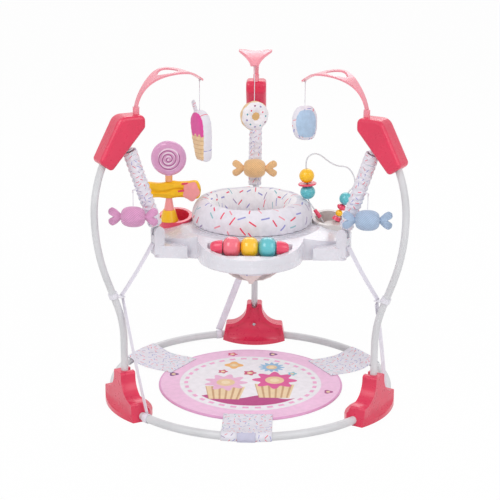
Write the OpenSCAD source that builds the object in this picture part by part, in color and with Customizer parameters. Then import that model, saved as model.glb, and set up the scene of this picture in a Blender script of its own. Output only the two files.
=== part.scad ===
// Baby jumper: three bent legs on a floor ring carry a sprung tray with a turning seat, toys and a mat.
// Millimetres. +Z is up, +Y points away from the roller console, the origin is on the floor at the ring's centre.

/* [Floor ring] */
// Radius of the floor ring, to the centre of its tube
ring_r = 385; // [375:1:395]
// Outside diameter of the ring's tube
ring_tube_d = 22; // [20:0.5:24]
// Wall of the ring's and the legs' tubes
tube_wall = 1.5; // [1:0.1:2]

/* [Feet] */
// Height of a foot
foot_h = 116; // [112:1:125]
// Width of a foot along the ring, at the floor
foot_w = 190; // [180:1:196]
// Width of a foot across its shoulders
foot_shoulder_w = 174; // [168:1:178]
// Height of a foot's shoulders
foot_shoulder_h = 50; // [46:1:52]
// Width of a foot's neck
foot_neck_w = 47; // [44:1:50]
// Depth of a foot's neck, across the ring
foot_neck_depth = 42; // [40:1:48]
// Radius of the hollow flare between neck and shoulders
foot_flare_r = 54; // [50:1:56]
// Distance of a foot's inner edge from the ring's tube
foot_inner = 68; // [62:1:72]
// Distance of a foot's outer edge from the ring's tube
foot_outer = 36; // [32:1:40]
// Bow of a foot's inner and outer edges, as a radius
foot_bow_r = 130; // [124:1:140]
// Height of the flat rim round a foot
foot_rim_h = 12; // [10:0.5:14]
// Width of the ridges beside the sunk panel of a foot
foot_ridge = 10; // [8:0.5:12]
// Depth of the sunk panel of a foot
foot_panel_depth = 5; // [3:0.5:6]
// Width of the notch at the top of a foot
notch_w = 17; // [14:0.5:19]
// Depth of the notch at the top of a foot
notch_depth = 16; // [14:0.5:18]

/* [Legs] */
// Outside diameter of a leg's tube
leg_d = 19; // [18:0.5:20]
// Height of a leg's lower straight
leg_lower_h = 200; // [190:1:210]
// Radius of a leg's lower bend
leg_lower_bend_r = 300; // [280:1:320]
// Lean of a leg between its bends, degrees
leg_lean = 20; // [18:0.5:21]
// Length of a leg's middle straight
leg_mid_len = 79; // [70:1:90]
// Radius of a leg's middle bend
leg_mid_bend_r = 515; // [490:1:530]
// Radius of a leg's upper bend
leg_upper_bend_r = 330; // [310:1:350]
// Lean of a leg's upper end towards the middle, degrees
leg_top_lean = 24; // [22:0.5:26]
// Length of a leg's upper end inside its elbow
leg_spigot_len = 46; // [40:1:48]
// Diameter of a snap button
button_d = 8; // [7:0.2:8.4]
// How far a snap button stands out of its leg
button_proud = 4; // [3.6:0.1:4.4]

/* [Elbows] */
// Width of an elbow, measured towards the middle
elbow_w = 126; // [122:1:130]
// Height of an elbow
elbow_h = 136; // [132:1:142]
// Thickness of an elbow
elbow_t = 58; // [52:1:64]
// Rounding of an elbow's edges
elbow_edge_r = 9; // [7:0.5:9.5]
// Gap at the seam of an elbow's two halves
seam_gap = 0.3; // [0.2:0.05:0.4]
// Diameter of a spring's pin
pin_d = 6; // [5:0.2:7]

/* [Mobile arms] */
// Height of an arm's collar above its elbow
collar_h = 18; // [16:0.5:21]
// Diameter of an arm's collar
collar_d = 17; // [15:0.5:18]
// Diameter of an arm's spigot
spigot_d = 10; // [9:0.2:11]
// Length of an arm's spigot
spigot_len = 24; // [20:1:26]
// Radius of an arm's rising bend
arm_rise_r = 107; // [103:1:111]
// Radius of an arm's top bend
arm_top_r = 132; // [128:1:136]
// Thickness of an arm's blade
arm_t = 5; // [4:0.2:6]
// Half width of an arm's blade at its widest
arm_half_w = 47; // [42:1:50]
// Half width of an arm's stem
arm_stem_half_w = 7; // [6:0.5:8]
// Width of the two strands beside an arm's slit
arm_strand_w = 11; // [9:0.5:13]

/* [Hanging toys] */
// Diameter of the toys' cords
cord_d = 2; // [1.8:0.1:2.4]
// Length of the cone toy's cord
cone_cord_len = 78; // [72:1:84]
// Length of the ring toy's cord
ring_cord_len = 98; // [92:1:104]
// Length of the cushion toy's cord
cushion_cord_len = 62; // [56:1:68]
// Diameter of the knot at a cord's upper end
knot_d = 5; // [4.4:0.1:5.6]
// Height of the cone toy
cone_toy_h = 138; // [130:1:144]
// Width of the cone toy
cone_toy_w = 64; // [60:1:68]
// Thickness of the cone toy
cone_toy_t = 34; // [30:1:38]
// Outside diameter of the ring toy
ring_toy_d = 82; // [76:1:88]
// Thickness of the ring toy
ring_toy_t = 34; // [30:1:36]
// Height of the cushion toy
cushion_toy_h = 94; // [88:1:100]
// Width of the cushion toy
cushion_toy_w = 71; // [66:1:76]
// Thickness of the cushion toy
cushion_toy_t = 34; // [30:1:38]

/* [Springs] */
// Outside diameter of a coil spring
spring_d = 24; // [22:0.5:25]
// Diameter of a spring's wire
spring_wire_d = 3; // [2.6:0.1:3.2]
// Number of curls in a spring
spring_curls = 14; // [12:1:15]
// Outside diameter of a spring's cover
cover_d = 39; // [37:0.5:40]
// Depth of the cover's gathers
cover_gather = 2.4; // [1.8:0.1:2.6]
// Number of gathers along a cover
cover_gathers = 15; // [12:1:17]

/* [Hanging sweets] */
// Length of a sweet
candy_len = 140; // [134:1:146]
// Length of a sweet's body
candy_body_len = 68; // [64:1:72]
// Diameter of a sweet's body
candy_d = 55; // [50:1:58]
// Diameter of the knob on each wing's ends
candy_wing_d = 24; // [22:0.5:26]
// Height of a side sweet's middle
candy_z = 545; // [538:1:552]
// Height of the rear sweet's middle
candy_rear_z = 570; // [562:1:578]
// Length of a sweet's cord
candy_cord_len = 34; // [30:1:38]

/* [Tray] */
// Height of the tray's underside
tray_z = 413; // [410:1:416]
// Height of the seam between the tray's two mouldings
tray_seam_z = 434; // [430:1:438]
// Height of the tray's rim at its widest
tray_rim_z = 452; // [450:1:456]
// Height of the tray's deck round the seat
tray_deck_z = 478; // [474:1:482]
// Radius of the tray's three lobes
lobe_r = 140; // [136:1:144]
// Distance of a lobe's middle from the tray's middle
lobe_d = 133; // [128:1:136]
// Radius of the tray's middle and of the deck's flat
core_r = 190; // [186:1:194]
// Radius of the tray's rear tongue
tongue_r = 60; // [56:1:62]
// Distance of the rear tongue's middle from the tray's middle
tongue_d = 212; // [206:1:216]
// Wall of the tray's mouldings
tray_wall = 3; // [2.4:0.1:3.4]
// Distance of the spring ears from the tray's middle
ear_r = 283; // [278:1:288]
// Height of the spring's hook on an ear
ear_hook_z = 490; // [486:1:494]
// Width of an ear
ear_w = 26; // [24:0.5:28]
// Depth of an ear
ear_depth = 28; // [26:0.5:30]

/* [Seat] */
// Radius of the seat's hole in the tray
seat_hole_r = 141; // [138:0.5:144]
// Outside radius of the seat's cushion ring
pad_outer_r = 164; // [160:1:168]
// Inside radius of the seat's cushion ring
pad_inner_r = 94; // [90:1:100]
// Height of the seat's cushion ring
pad_h = 62; // [57:1:66]
// Height of the underside of the seat's bag
bag_z = 311; // [304:1:318]
// Thickness of the bag's padded cloth
bag_t = 4; // [3:0.2:5]
// Diameter of a leg hole in the bag
leg_hole_d = 92; // [84:1:98]

/* [Roller toy] */
// Diameter of a roller
roller_d = 54; // [50:1:55]
// Length of a roller
roller_len = 46.4; // [45:0.2:47]
// Distance of the rollers' axle in front of the tray's middle
roller_y = 215; // [212:1:218]
// Height of the rollers' axle
roller_z = 471; // [470:0.5:474]
// Diameter of the rollers' axle
axle_d = 8; // [7:0.2:9]
// Diameter of the wrapper ends
wrapper_d = 36; // [32:1:38]
// Length of a wrapper end
wrapper_len = 32; // [29:1:33]

/* [Lollipop toy] */
// Distance of the toys' dishes from the tray's middle line
dish_x = 210; // [206:1:213]
// Distance of the toys' dishes behind the tray's middle
dish_y = 15; // [10:1:20]
// Outside radius of a dish
dish_r = 46; // [43:0.5:48]
// Height of a dish's front above its floor
dish_h = 32; // [28:1:36]
// How far a dish's back stands above its front
dish_rise = 20; // [14:1:24]
// Distance of the lollipop from the dish's middle, outwards
lolly_out = 16; // [14:0.5:18]
// Distance of the lollipop from the dish's middle, to the front
lolly_front = 20; // [18:0.5:21]
// Diameter of the cup's foot
cup_d = 50; // [46:0.5:51]
// Diameter of the cup's top
cup_top_d = 33; // [30:0.5:36]
// Height of the cup
cup_h = 31; // [28:0.5:34]
// Height of the stem
stem_h = 33; // [30:0.5:36]
// Length of the ribbon's bow
ribbon_len = 155; // [145:1:162]
// Height of the ribbon's bow
ribbon_h = 46; // [42:1:48]
// Height of the lollipop's neck
neck_h = 22; // [20:0.5:26]
// Diameter of the lollipop's disc
lolly_d = 96; // [90:1:100]
// Thickness of the lollipop's disc
lolly_t = 26; // [22:0.5:30]

/* [Bead toy] */
// Diameter of the bead wire
wire_d = 4; // [3.6:0.1:4.4]
// Diameter of the upper round beads
bead_d = 41; // [38:0.5:42]
// Diameter of the flat bead
flat_bead_d = 50; // [46:0.5:52]
// Thickness of the flat bead
flat_bead_t = 5; // [4:0.5:6]
// Diameter of the round bead on the outer side
small_bead_d = 36; // [32:0.5:38]

/* [Straps] */
// Width of a strap
strap_w = 20; // [18:0.5:22]
// Thickness of a strap
strap_t = 1.6; // [1.2:0.1:2]
// Distance of a lower strap's end from its foot's middle
strap_out = 108; // [107:0.5:114]

/* [Mat] */
// Radius of the play mat
mat_r = 258; // [250:1:266]
// Thickness of the play mat
mat_t = 8; // [6:0.5:10]
// Width of a mat's tab
tab_w = 134; // [124:1:140]
// Thickness of a mat's tab
tab_t = 2; // [1.6:0.1:2.2]

/* [Fits] */
// Clearance of a tube in its socket
socket_gap = 0.1; // [0.06:0.02:0.14]
// Clearance of a turning shaft in its hole
run_gap = 0.05; // [0.03:0.01:0.08]
// Clearance between pieces that move past each other
move_gap = 0.4; // [0.3:0.05:0.6]

/* [Hidden] */
$fn = 64;
cut = 1;

pink = [0.89, 0.26, 0.38];
pale_pink = [0.94, 0.64, 0.68];
tube_white = [0.82, 0.81, 0.84];
tray_white = [0.9, 0.88, 0.93];
cloth_white = [0.93, 0.91, 0.94];
yellow = [1, 0.78, 0.08];
teal = [0.37, 0.74, 0.78];
red = [0.92, 0.26, 0.38];
candy_pink = [0.88, 0.62, 0.78];
orange = [0.96, 0.74, 0.48];
pale_blue = [0.67, 0.75, 0.87];
beige = [0.87, 0.77, 0.74];

// Stations of the three legs round the ring, degrees
left_angle = 210;
right_angle = 330;
rear_angle = 90;
stations = [left_angle, right_angle, rear_angle];
tab_stations = [270, 30, 150];

// Ring and feet
ring_tube_r = ring_tube_d / 2;
ring_z = ring_tube_r + tab_t + 2 * move_gap;
foot_web = ring_tube_d;
foot_socket_z = ring_z + ring_tube_d;
web_a = asin(foot_web / 2 / ring_r);
tube_end_a = asin((foot_web / 2 + move_gap) / ring_r);
foot_end_a = asin(foot_w / ring_r);

// Leg's line in the plane of its station, as distance from the middle and height
leg_r = leg_d / 2;
leg_p1 = [ring_r, leg_lower_h];
leg_p2 = leg_p1 + leg_lower_bend_r * [1 - cos(leg_lean), sin(leg_lean)];
leg_p3 = leg_p2 + leg_mid_len * [sin(leg_lean), cos(leg_lean)];
leg_c3 = leg_p3 + leg_mid_bend_r * [-cos(leg_lean), sin(leg_lean)];
leg_p4 = leg_c3 + [leg_mid_bend_r, 0];
leg_c4 = leg_p4 - [leg_upper_bend_r, 0];
leg_p5 = leg_c4 + leg_upper_bend_r * [cos(leg_top_lean), sin(leg_top_lean)];
leg_foot_z = foot_socket_z + move_gap;
button_z = foot_h - notch_depth / 2;
button_flange_share = 0.6;
join_share = 1.02;

// Elbow's outline: corner middles and radii as shares of its width and height
elbow_leg_shares = [0.861, 0.104];
elbow_corner_shares = [
    [0.762, 0.074, 0.074], [0.906, 0.191, 0.088], [0.414, 0.787, 0.213], [0.119, 0.89, 0.11], [0.119, 0.8, 0.11]
];
elbow_pin_shares = [0.35, 0.485];
elbow_arm_share = 0.122;
elbow_x = leg_p5[0] - elbow_leg_shares[0] * elbow_w;
elbow_z = leg_p5[1] - elbow_leg_shares[1] * elbow_h;
spring_a = [elbow_x + elbow_pin_shares[0] * elbow_w, elbow_z + elbow_pin_shares[1] * elbow_h];
spring_b = [ear_r, ear_hook_z];
spring_len = norm(spring_a - spring_b);
spring_lean = atan2(spring_a[0] - spring_b[0], spring_a[1] - spring_b[1]);
pin_len_share = 0.8;

// Spring and cover along the line from the elbow's pin to the ear's hook
plug_eye_r = pin_d / 2 + spring_wire_d * 1.4;
plug_w = ear_w * 0.4;
plug_len = spring_d;
plug_head_t = spring_wire_d;
pocket_r = spring_d / 2 + spring_wire_d;
cover_start = plug_len + spring_wire_d;
cover_end = spring_len - plug_len + spring_wire_d;
cover_bore_r = spring_d / 2 + 2 * move_gap;
coil_start = plug_len + spring_wire_d / 2 + move_gap;
coil_end = spring_len - coil_start;
coil_mean_r = (spring_d - spring_wire_d) / 2;
coil_steps = 8;
coil_sides = 6;

// Arm's curve
arm_start_a = 12;
arm_mid_a = 90;
arm_tip_a = 129;
arm_x = elbow_x + elbow_arm_share * elbow_w;
arm_seat_z = elbow_z + elbow_h - elbow_edge_r / 2;
arm_p0 = [arm_x, elbow_z + elbow_h + collar_h];
arm_c1 = arm_p0 - arm_rise_r * [cos(arm_start_a), sin(arm_start_a)];
arm_p1 = arm_c1 + arm_rise_r * [cos(arm_mid_a), sin(arm_mid_a)];
arm_c2 = arm_p1 - arm_top_r * [cos(arm_mid_a), sin(arm_mid_a)];
arm_p2 = arm_c2 + arm_top_r * [cos(arm_tip_a), sin(arm_tip_a)];
arm_q0 = (arm_p0[1] - arm_p0[0]) / sqrt(2);
arm_q1 = (arm_p2[1] - arm_p2[0]) / sqrt(2);
arm_steps = 20;
arm_slit_shares = [0.56, 0.84];
arm_power = 2.6;
arm_hang_a = arm_tip_a - 2;
cone_turn = -84;
ring_turn = 113;
cushion_turn = -130;
toy_pivot = arm_c2 + (arm_top_r - arm_t / 2 - knot_d / 2 - move_gap) * [cos(arm_hang_a), sin(arm_hang_a)];

// Sweets: where each one's loop leaves its cover and where it hangs
side_loop_yaw = 21;
loop_d = cord_d * 1.8;
candy_drop = candy_d / 2 + candy_cord_len + knot_d / 2 + loop_d / 2 + move_gap;
candy_reach = (candy_d + cover_d) / 2;
candy_shift = candy_drop * tan(spring_lean);
side_loop_len = candy_reach + spring_d * 0.45 - candy_shift;
rear_loop_len = candy_reach + spring_d * 0.25 + candy_shift;
wing_a = 28;

// Tray
deck_slope = (tray_deck_z - tray_rim_z) / (lobe_d + lobe_r - core_r);
deck_reach = 1.3 * (lobe_d + lobe_r);
lobe_angles = [180, 270, 0];
bottom_hole_r = seat_hole_r + 4 * tray_wall;
shelf_half_share = 0.79;
roller_edge_share = 0.34;
toe_share = 0.2;
ear_wing_share = 1.2;
strap_lift_share = 0.12;
shelf_front = roller_y + roller_d * 0.68;
shelf_back = roller_y - roller_d * 0.61;
shelf_z = roller_z - roller_d * 0.28;
well_half = 1.5 * roller_len + 4 * move_gap;
well_half_y = roller_d / 2 + tray_wall;
well_z = roller_z - roller_d / 2 - tray_wall;
dish_floor_z = tray_rim_z - tray_wall;
ear_foot_z = tray_seam_z - 2 * tray_wall;
ear_root_shares = [0.78, 0.78, 0.86];
ear_cheek = (ear_w - plug_w) / 2 - move_gap;
ear_slot_z = ear_hook_z - plug_eye_r - tray_wall;

// Seat
ring_flange_z = tray_deck_z + move_gap;
ring_flange_t = tray_wall;
ring_flange_r = pad_outer_r - tray_wall;
ring_neck_r = seat_hole_r - move_gap;
ring_bore_r = seat_hole_r - 4 * tray_wall;
ring_lip_r = seat_hole_r + 1.6 * tray_wall;
hem_z = ring_flange_z + ring_flange_t;
hem_t = bag_t / 2;
bag_r = ring_bore_r - move_gap;
pad_z = hem_z + hem_t;
pad_mid_r = (pad_outer_r + pad_inner_r) / 2;
pad_half_w = (pad_outer_r - pad_inner_r) / 2;
pad_tuck_a = 25;
pad_steps = 20;
bag_depth = hem_z - bag_z;
bag_shares = [[1, 1], [1, 0.86], [0.95, 0.62], [0.82, 0.38], [0.64, 0.18], [0.42, 0.05], [0.26, 0]];
leg_hole_a = 50;
leg_hole_z_share = 0.34;
leg_hole_tilt = 24;

// Lollipop
lolly_x = -dish_x - lolly_out;
lolly_y = dish_y - lolly_front;
cup_z = dish_floor_z + dish_h;
stem_z = cup_z + cup_h;
ribbon_z = stem_z + stem_h;
neck_z = ribbon_z + ribbon_h + 2 * move_gap;
lolly_z = neck_z + neck_h + lolly_d / 2 - lolly_t / 4;
stem_pin_d = axle_d;
stem_pin_top = neck_z + neck_h;
dish_tilt = atan2(dish_rise, 2 * dish_r);

// Bead wire: hand-chosen points of its line, as shares of its height over the dish
wire_base_z = dish_floor_z + dish_h;
wire_h = 196;
wire_x = 210;
wire_y = 10;
wire_shares = [
    [-0.056, -0.033], [-0.15, 0.097], [-0.21, 0.18], [-0.262, 0.25], [-0.2925, 0.315], [-0.301, 0.42], [-0.309, 0.52],
    [-0.317, 0.62], [-0.325, 0.72], [-0.331, 0.795], [-0.326, 0.87], [-0.292, 0.93], [-0.22, 0.965], [-0.13, 0.94],
    [-0.01, 0.85], [0.1, 0.8], [0.217, 0.785], [0.285, 0.735], [0.334, 0.645], [0.348, 0.575], [0.338, 0.52],
    [0.308, 0.475], [0.2755, 0.44], [0.2585, 0.4], [0.216, 0.3], [0.173, 0.2], [0.088, 0]
];
wire_sides = 10;
wire_steps = 3;
bead_hole_d = wire_d + 4 * move_gap;
bead_flat_share = 0.97;
small_flat_share = 0.6;
sleeve_lean = atan2(wire_shares[2][0] - wire_shares[0][0], wire_shares[2][1] - wire_shares[0][1]);
left_low = wire_shares[4];
left_lean = atan2(wire_shares[8][0] - left_low[0], wire_shares[8][1] - left_low[1]);
wire_end = len(wire_shares) - 1;
right_lean = atan2(wire_shares[wire_end - 3][0] - wire_shares[wire_end][0], wire_shares[wire_end - 3][1]);

// Straps: keeper on the leg's middle straight
keeper_share = 0.37;
keeper_p = leg_p2 + keeper_share * leg_mid_len * [sin(leg_lean), cos(leg_lean)];
keeper_h = strap_w * 0.7;
keeper_t = 2 * strap_t;
keeper_reach = 30;
keeper_z = keeper_p[1] - keeper_h / 2;
keeper_tip = keeper_p[0] - keeper_reach;
strap_top = [ear_r + ear_depth / 2 + move_gap, tray_rim_z + 2 * tray_wall];
strap_turn = [keeper_tip + strap_w * 0.3, keeper_z];
strap_foot_a = asin(strap_out / ring_r);
loop_len = strap_w * 0.8;

// Mat
tab_a = 2 * asin(tab_w / 2 / ring_r);
tab_gap = move_gap / 2;
sleeve_r = ring_tube_r + tab_gap + tab_t;

// Least distance between two curls of a spring
coil_pitch = (coil_end - coil_start) / spring_curls;
echo(coil_gap = coil_pitch * cos(atan2(coil_pitch, 2 * PI * coil_mean_r)) - spring_wire_d);
echo(wire_len = wire_h * 3);
echo(visual_top = arm_c2[1] + arm_top_r + arm_t / 2);

// Places children at a station of the ring
module at(a) {
    rotate([0, 0, a])
        children();
}

// Places children at a point of a station's plane
module at_point(p) {
    translate([p[0], 0, p[1]])
        children();
}

// Bent round bar about a station's crosswise axis, from one polar angle to another
module bend(c, r, a0, a1, bar_r) {
    at_point(c)
        rotate([90, 0, 0])
            rotate([0, 0, a0])
                rotate_extrude(angle = a1 - a0)
                    translate([r, 0])
                        circle(r = bar_r);
}

// Ring of points round a line's point, for a swept bar
function hoop(c, n, b, r, sides) = [
    for (j = [0:sides - 1]) c + r * (cos(360 * j / sides) * n + sin(360 * j / sides) * b)
];

// Swept bar through rings of points
module swept(hoops, sides) {
    last = len(hoops) - 1;
    skin = [
        for (i = [0:last - 1]) for (j = [0:sides - 1])
            each [
                [i * sides + j, (i + 1) * sides + j, (i + 1) * sides + (j + 1) % sides],
                [i * sides + j, (i + 1) * sides + (j + 1) % sides, i * sides + (j + 1) % sides]
            ]
    ];
    caps = [
        [for (j = [0:sides - 1]) j],
        [for (j = [sides - 1:-1:0]) last * sides + j]
    ];
    polyhedron(points = [for (h = hoops) each h], faces = concat(skin, caps), convexity = 10);
}

// Smooth curve through points
function smooth_at(p0, p1, p2, p3, t) =
    0.5 * (2 * p1 + (p2 - p0) * t + (2 * p0 - 5 * p1 + 4 * p2 - p3) * t * t + (3 * p1 - p0 - 3 * p2 + p3) * t * t * t);
function smooth(p, n) = concat(
    [
        for (i = [0:len(p) - 2]) for (k = [0:n - 1])
            smooth_at(p[max(i - 1, 0)], p[i], p[i + 1], p[min(i + 2, len(p) - 1)], k / n)
    ],
    [p[len(p) - 1]]
);

// Block with rounded upper corners, drawn flat
module round_block(half_foot, half_top, z0, z1, r) {
    polygon([
        [-half_foot, z0], [half_foot, z0], [half_top, z1 - r],
        [half_top - r, z1], [-half_top + r, z1], [-half_top, z1 - r]
    ]);
    for (s = [-1, 1])
        translate([s * (half_top - r), z1 - r])
            circle(r = r);
}

// Foot seen along the radius: neck, hollow flares and shoulders
module foot_front(inset, z0) {
    flare_x = foot_neck_w / 2 + foot_flare_r;
    flare_z = foot_shoulder_h + foot_flare_r;
    corner = foot_ridge * 0.7;
    difference() {
        union() {
            round_block(foot_w / 2 - inset, foot_shoulder_w / 2 - inset, z0, foot_shoulder_h - inset, corner);
            round_block(foot_neck_w / 2 - inset, foot_neck_w / 2 - inset, z0, foot_h - inset, corner);
            translate([-flare_x, z0])
                square([2 * flare_x, flare_z - z0]);
        }
        for (s = [-1, 1])
            translate([s * flare_x, flare_z])
                circle(r = foot_flare_r + inset);
    }
}

// Foot seen along the ring: a neck that flares to the rim on both sides
module foot_side() {
    half = foot_neck_depth / 2;
    inner_r = foot_inner - half;
    outer_r = foot_outer - half;
    difference() {
        union() {
            translate([-foot_inner, 0])
                square([foot_inner + foot_outer, foot_rim_h]);
            translate([-foot_inner, 0])
                square([foot_inner, foot_rim_h + inner_r]);
            square([foot_outer, foot_rim_h + outer_r]);
            translate([-half, 0])
                square([2 * half, foot_h]);
        }
        translate([-foot_inner, foot_rim_h + inner_r])
            circle(r = inner_r);
        translate([foot_outer, foot_rim_h + outer_r])
            circle(r = outer_r);
    }
}

// Foot seen from above: bowed inner and outer edges
module foot_plan() {
    intersection() {
        translate([foot_bow_r - foot_inner, 0])
            circle(r = foot_bow_r, $fn = 128);
        translate([foot_outer - 2 * foot_bow_r, 0])
            circle(r = 2 * foot_bow_r, $fn = 128);
        square([2 * foot_bow_r, foot_w], center = true);
    }
}

module radial_extrude(x0, x1) {
    translate([x0, 0, 0])
        rotate([90, 0, 90])
            linear_extrude(x1 - x0)
                children();
}

module tangential_extrude(w) {
    translate([0, w / 2, 0])
        rotate([90, 0, 0])
            linear_extrude(w)
                children();
}

module foot(a) {
    color(pink)
        at(a)
            difference() {
                translate([ring_r, 0, 0])
                    difference() {
                        intersection() {
                            radial_extrude(-foot_bow_r, foot_bow_r)
                                foot_front(0, 0);
                            tangential_extrude(foot_w)
                                foot_side();
                            linear_extrude(foot_h)
                                foot_plan();
                        }
                        difference() {
                            radial_extrude(-foot_bow_r, 0)
                                foot_front(foot_ridge, foot_rim_h);
                            translate([foot_panel_depth, 0, 0])
                                tangential_extrude(foot_w)
                                    foot_side();
                        }
                        translate([0, 0, foot_socket_z])
                            cylinder(r = leg_r + socket_gap, h = foot_h);
                        translate([0, 0, foot_h - notch_depth + notch_w / 2])
                            rotate([0, -90, 0])
                                cylinder(d = notch_w, h = foot_neck_depth);
                        translate([-foot_neck_depth, -notch_w / 2, foot_h - notch_depth + notch_w / 2])
                            cube([foot_neck_depth, notch_w, notch_depth]);
                    }
                for (s = [0, 1])
                    mirror([0, s, 0])
                        rotate([0, 0, web_a])
                            rotate_extrude(angle = foot_end_a)
                                translate([ring_r, ring_z])
                                    circle(r = ring_tube_r + socket_gap);
            }
}

module base_tube(a) {
    color(tube_white)
        rotate([0, 0, a + tube_end_a])
            rotate_extrude(angle = 120 - 2 * tube_end_a, $fn = 128)
                translate([ring_r, ring_z])
                    difference() {
                        circle(d = ring_tube_d);
                        circle(d = ring_tube_d - 2 * tube_wall);
                    }
}

// Bar that follows a leg's line
module leg_bar(bar_r, extra) {
    translate([ring_r, 0, leg_foot_z - extra])
        cylinder(r = bar_r, h = leg_lower_h - leg_foot_z + extra);
    bend(leg_p1 + [leg_lower_bend_r, 0], leg_lower_bend_r, 180 - leg_lean, 180, bar_r);
    at_point(leg_p2)
        rotate([0, leg_lean, 0])
            cylinder(r = bar_r, h = leg_mid_len);
    bend(leg_c3, leg_mid_bend_r, -leg_lean, 0, bar_r);
    bend(leg_c4, leg_upper_bend_r, 0, leg_top_lean, bar_r);
    at_point(leg_p5)
        rotate([0, -leg_top_lean, 0])
            cylinder(r = bar_r, h = leg_spigot_len + extra);
    leg_join(leg_p1, 0, bar_r);
    leg_join(leg_p2, leg_lean, bar_r);
    leg_join(leg_p3, leg_lean, bar_r);
    leg_join(leg_p4, 0, bar_r);
    leg_join(leg_p5, -leg_top_lean, bar_r);
}

// Short collar where two lengths of a leg meet
module leg_join(p, lean, bar_r) {
    at_point(p)
        rotate([0, lean, 0])
            cylinder(r = bar_r * join_share, h = tube_wall, center = true);
}

module leg(a) {
    color(tube_white)
        at(a)
            difference() {
                leg_bar(leg_r, 0);
                leg_bar(leg_r - tube_wall, cut);
                translate([ring_r, 0, button_z])
                    rotate([0, -90, 0])
                        cylinder(d = button_d + 2 * run_gap, h = leg_d);
            }
}

module button(a) {
    tip = leg_r + button_proud;
    flange_x = leg_r * 0.28;
    flange_t = tube_wall;
    rim = button_d * 0.2;
    color(tube_white)
        at(a)
            translate([ring_r, 0, button_z])
                rotate([0, -90, 0])
                    rotate_extrude()
                        polygon([
                            [0, flange_x], [button_d * button_flange_share, flange_x],
                            [button_d * button_flange_share, flange_x + flange_t], [button_d / 2, flange_x + flange_t],
                            [button_d / 2, tip - rim], [button_d / 2 - rim, tip], [0, tip]
                        ]);
}

// Round puck with a rounded edge, lying across the station's plane
module puck(r, half_t, edge) {
    arc = [for (k = [0:3]) [r - edge + edge * cos(30 * k), half_t - edge + edge * sin(30 * k)]];
    rotate([-90, 0, 0])
        rotate_extrude($fn = 28)
            polygon(concat([[0, seam_gap / 2], [r, seam_gap / 2]], arc, [[0, half_t]]));
}

module elbow_half() {
    hull()
        for (c = elbow_corner_shares)
            at_point([elbow_x + c[0] * elbow_w, elbow_z + c[1] * elbow_h])
                puck(c[2] * elbow_h, elbow_t / 2, elbow_edge_r);
}

module elbow(a) {
    color(pink)
        at(a)
            for (s = [0, 1])
                mirror([0, s, 0])
                    difference() {
                        elbow_half();
                        at_point(leg_p5)
                            rotate([0, -leg_top_lean, 0]) {
                                cylinder(r = leg_r + socket_gap, h = leg_spigot_len + move_gap);
                                translate([0, 0, -leg_d * 2])
                                    cylinder(r = leg_r + 2 * move_gap, h = leg_d * 2 + tube_wall);
                            }
                        at_point(spring_a)
                            rotate([0, spring_lean, 0])
                                translate([0, 0, -elbow_h])
                                    cylinder(r = pocket_r, h = elbow_h + plug_eye_r + spring_wire_d);
                        at_point(spring_a)
                            rotate([90, 0, 0])
                                cylinder(
                                    d = pin_d + 2 * run_gap, h = elbow_t * pin_len_share + 2 * move_gap, center = true
                                );
                        translate([arm_x, 0, arm_seat_z - spigot_len - move_gap])
                            cylinder(d = spigot_d + 2 * run_gap, h = elbow_h);
                        translate([arm_x, 0, arm_seat_z])
                            cylinder(d = collar_d + 2 * socket_gap, h = elbow_h);
                    }
}

module spring_pins() {
    color(tube_white)
        for (a = stations)
            at(a)
                at_point(spring_a)
                    rotate([90, 0, 0])
                        cylinder(d = pin_d, h = elbow_t * pin_len_share, center = true);
}

// Half width of an arm's blade along its length
function arm_half(s) = arm_stem_half_w + (arm_half_w - arm_stem_half_w) * sin(180 * pow(s, arm_power));

// Half width of the slit, pointed at both of its ends
function slit_half(s, u) = max((arm_half(s) - arm_strand_w) * sqrt(max(0, sin(180 * u))), arm_t / 4);

// Leaf outline of an arm with its slit, drawn flat along the arm
module arm_leaf() {
    span = arm_q1 - arm_q0;
    edge = [for (k = [0:arm_steps]) k / arm_steps];
    slit = [for (k = [0:arm_steps]) arm_slit_shares[0] + (arm_slit_shares[1] - arm_slit_shares[0]) * k / arm_steps];
    difference() {
        polygon(concat(
            [for (s = edge) [arm_q0 + span * s, arm_half(s)]],
            [[arm_q1 + arm_t, arm_stem_half_w], [arm_q1 + arm_t, -arm_stem_half_w]],
            [for (k = [arm_steps:-1:0]) [arm_q0 + span * edge[k], -arm_half(edge[k])]],
            [[arm_q0 - 2 * arm_t, -arm_stem_half_w], [arm_q0 - 2 * arm_t, arm_stem_half_w]]
        ));
        polygon(concat(
            [for (k = [0:arm_steps]) [arm_q0 + span * slit[k], slit_half(slit[k], edge[k])]],
            [for (k = [arm_steps:-1:0]) [arm_q0 + span * slit[k], -slit_half(slit[k], edge[k])]]
        ));
    }
}

module arm_band(c, r, a0, a1) {
    at_point(c)
        rotate([90, 0, 0])
            rotate([0, 0, a0])
                rotate_extrude(angle = a1 - a0, $fn = 128)
                    translate([r - arm_t / 2, -arm_half_w])
                        square([arm_t, 2 * arm_half_w]);
}

module arm(a) {
    color(pale_pink)
        at(a) {
            difference() {
                intersection() {
                    union() {
                        arm_band(arm_c1, arm_rise_r, arm_start_a, arm_mid_a);
                        arm_band(arm_c2, arm_top_r, arm_mid_a, arm_tip_a);
                    }
                    rotate([0, -135, 0])
                        linear_extrude(4 * arm_q1, center = true)
                            arm_leaf();
                }
                translate([arm_x, 0, arm_seat_z])
                    cylinder(d = collar_d, h = collar_h + elbow_edge_r / 2);
            }
            translate([arm_x, 0, arm_seat_z])
                cylinder(d = collar_d, h = collar_h + elbow_edge_r / 2);
            translate([arm_x, 0, arm_seat_z - spigot_len])
                cylinder(d = spigot_d, h = spigot_len);
        }
}

// Cord that hangs from a knot at the origin
module hung_cord(length) {
    sphere(d = knot_d, $fn = 32);
    translate([0, 0, -length])
        cylinder(d = cord_d, h = length, $fn = 32);
}

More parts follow.
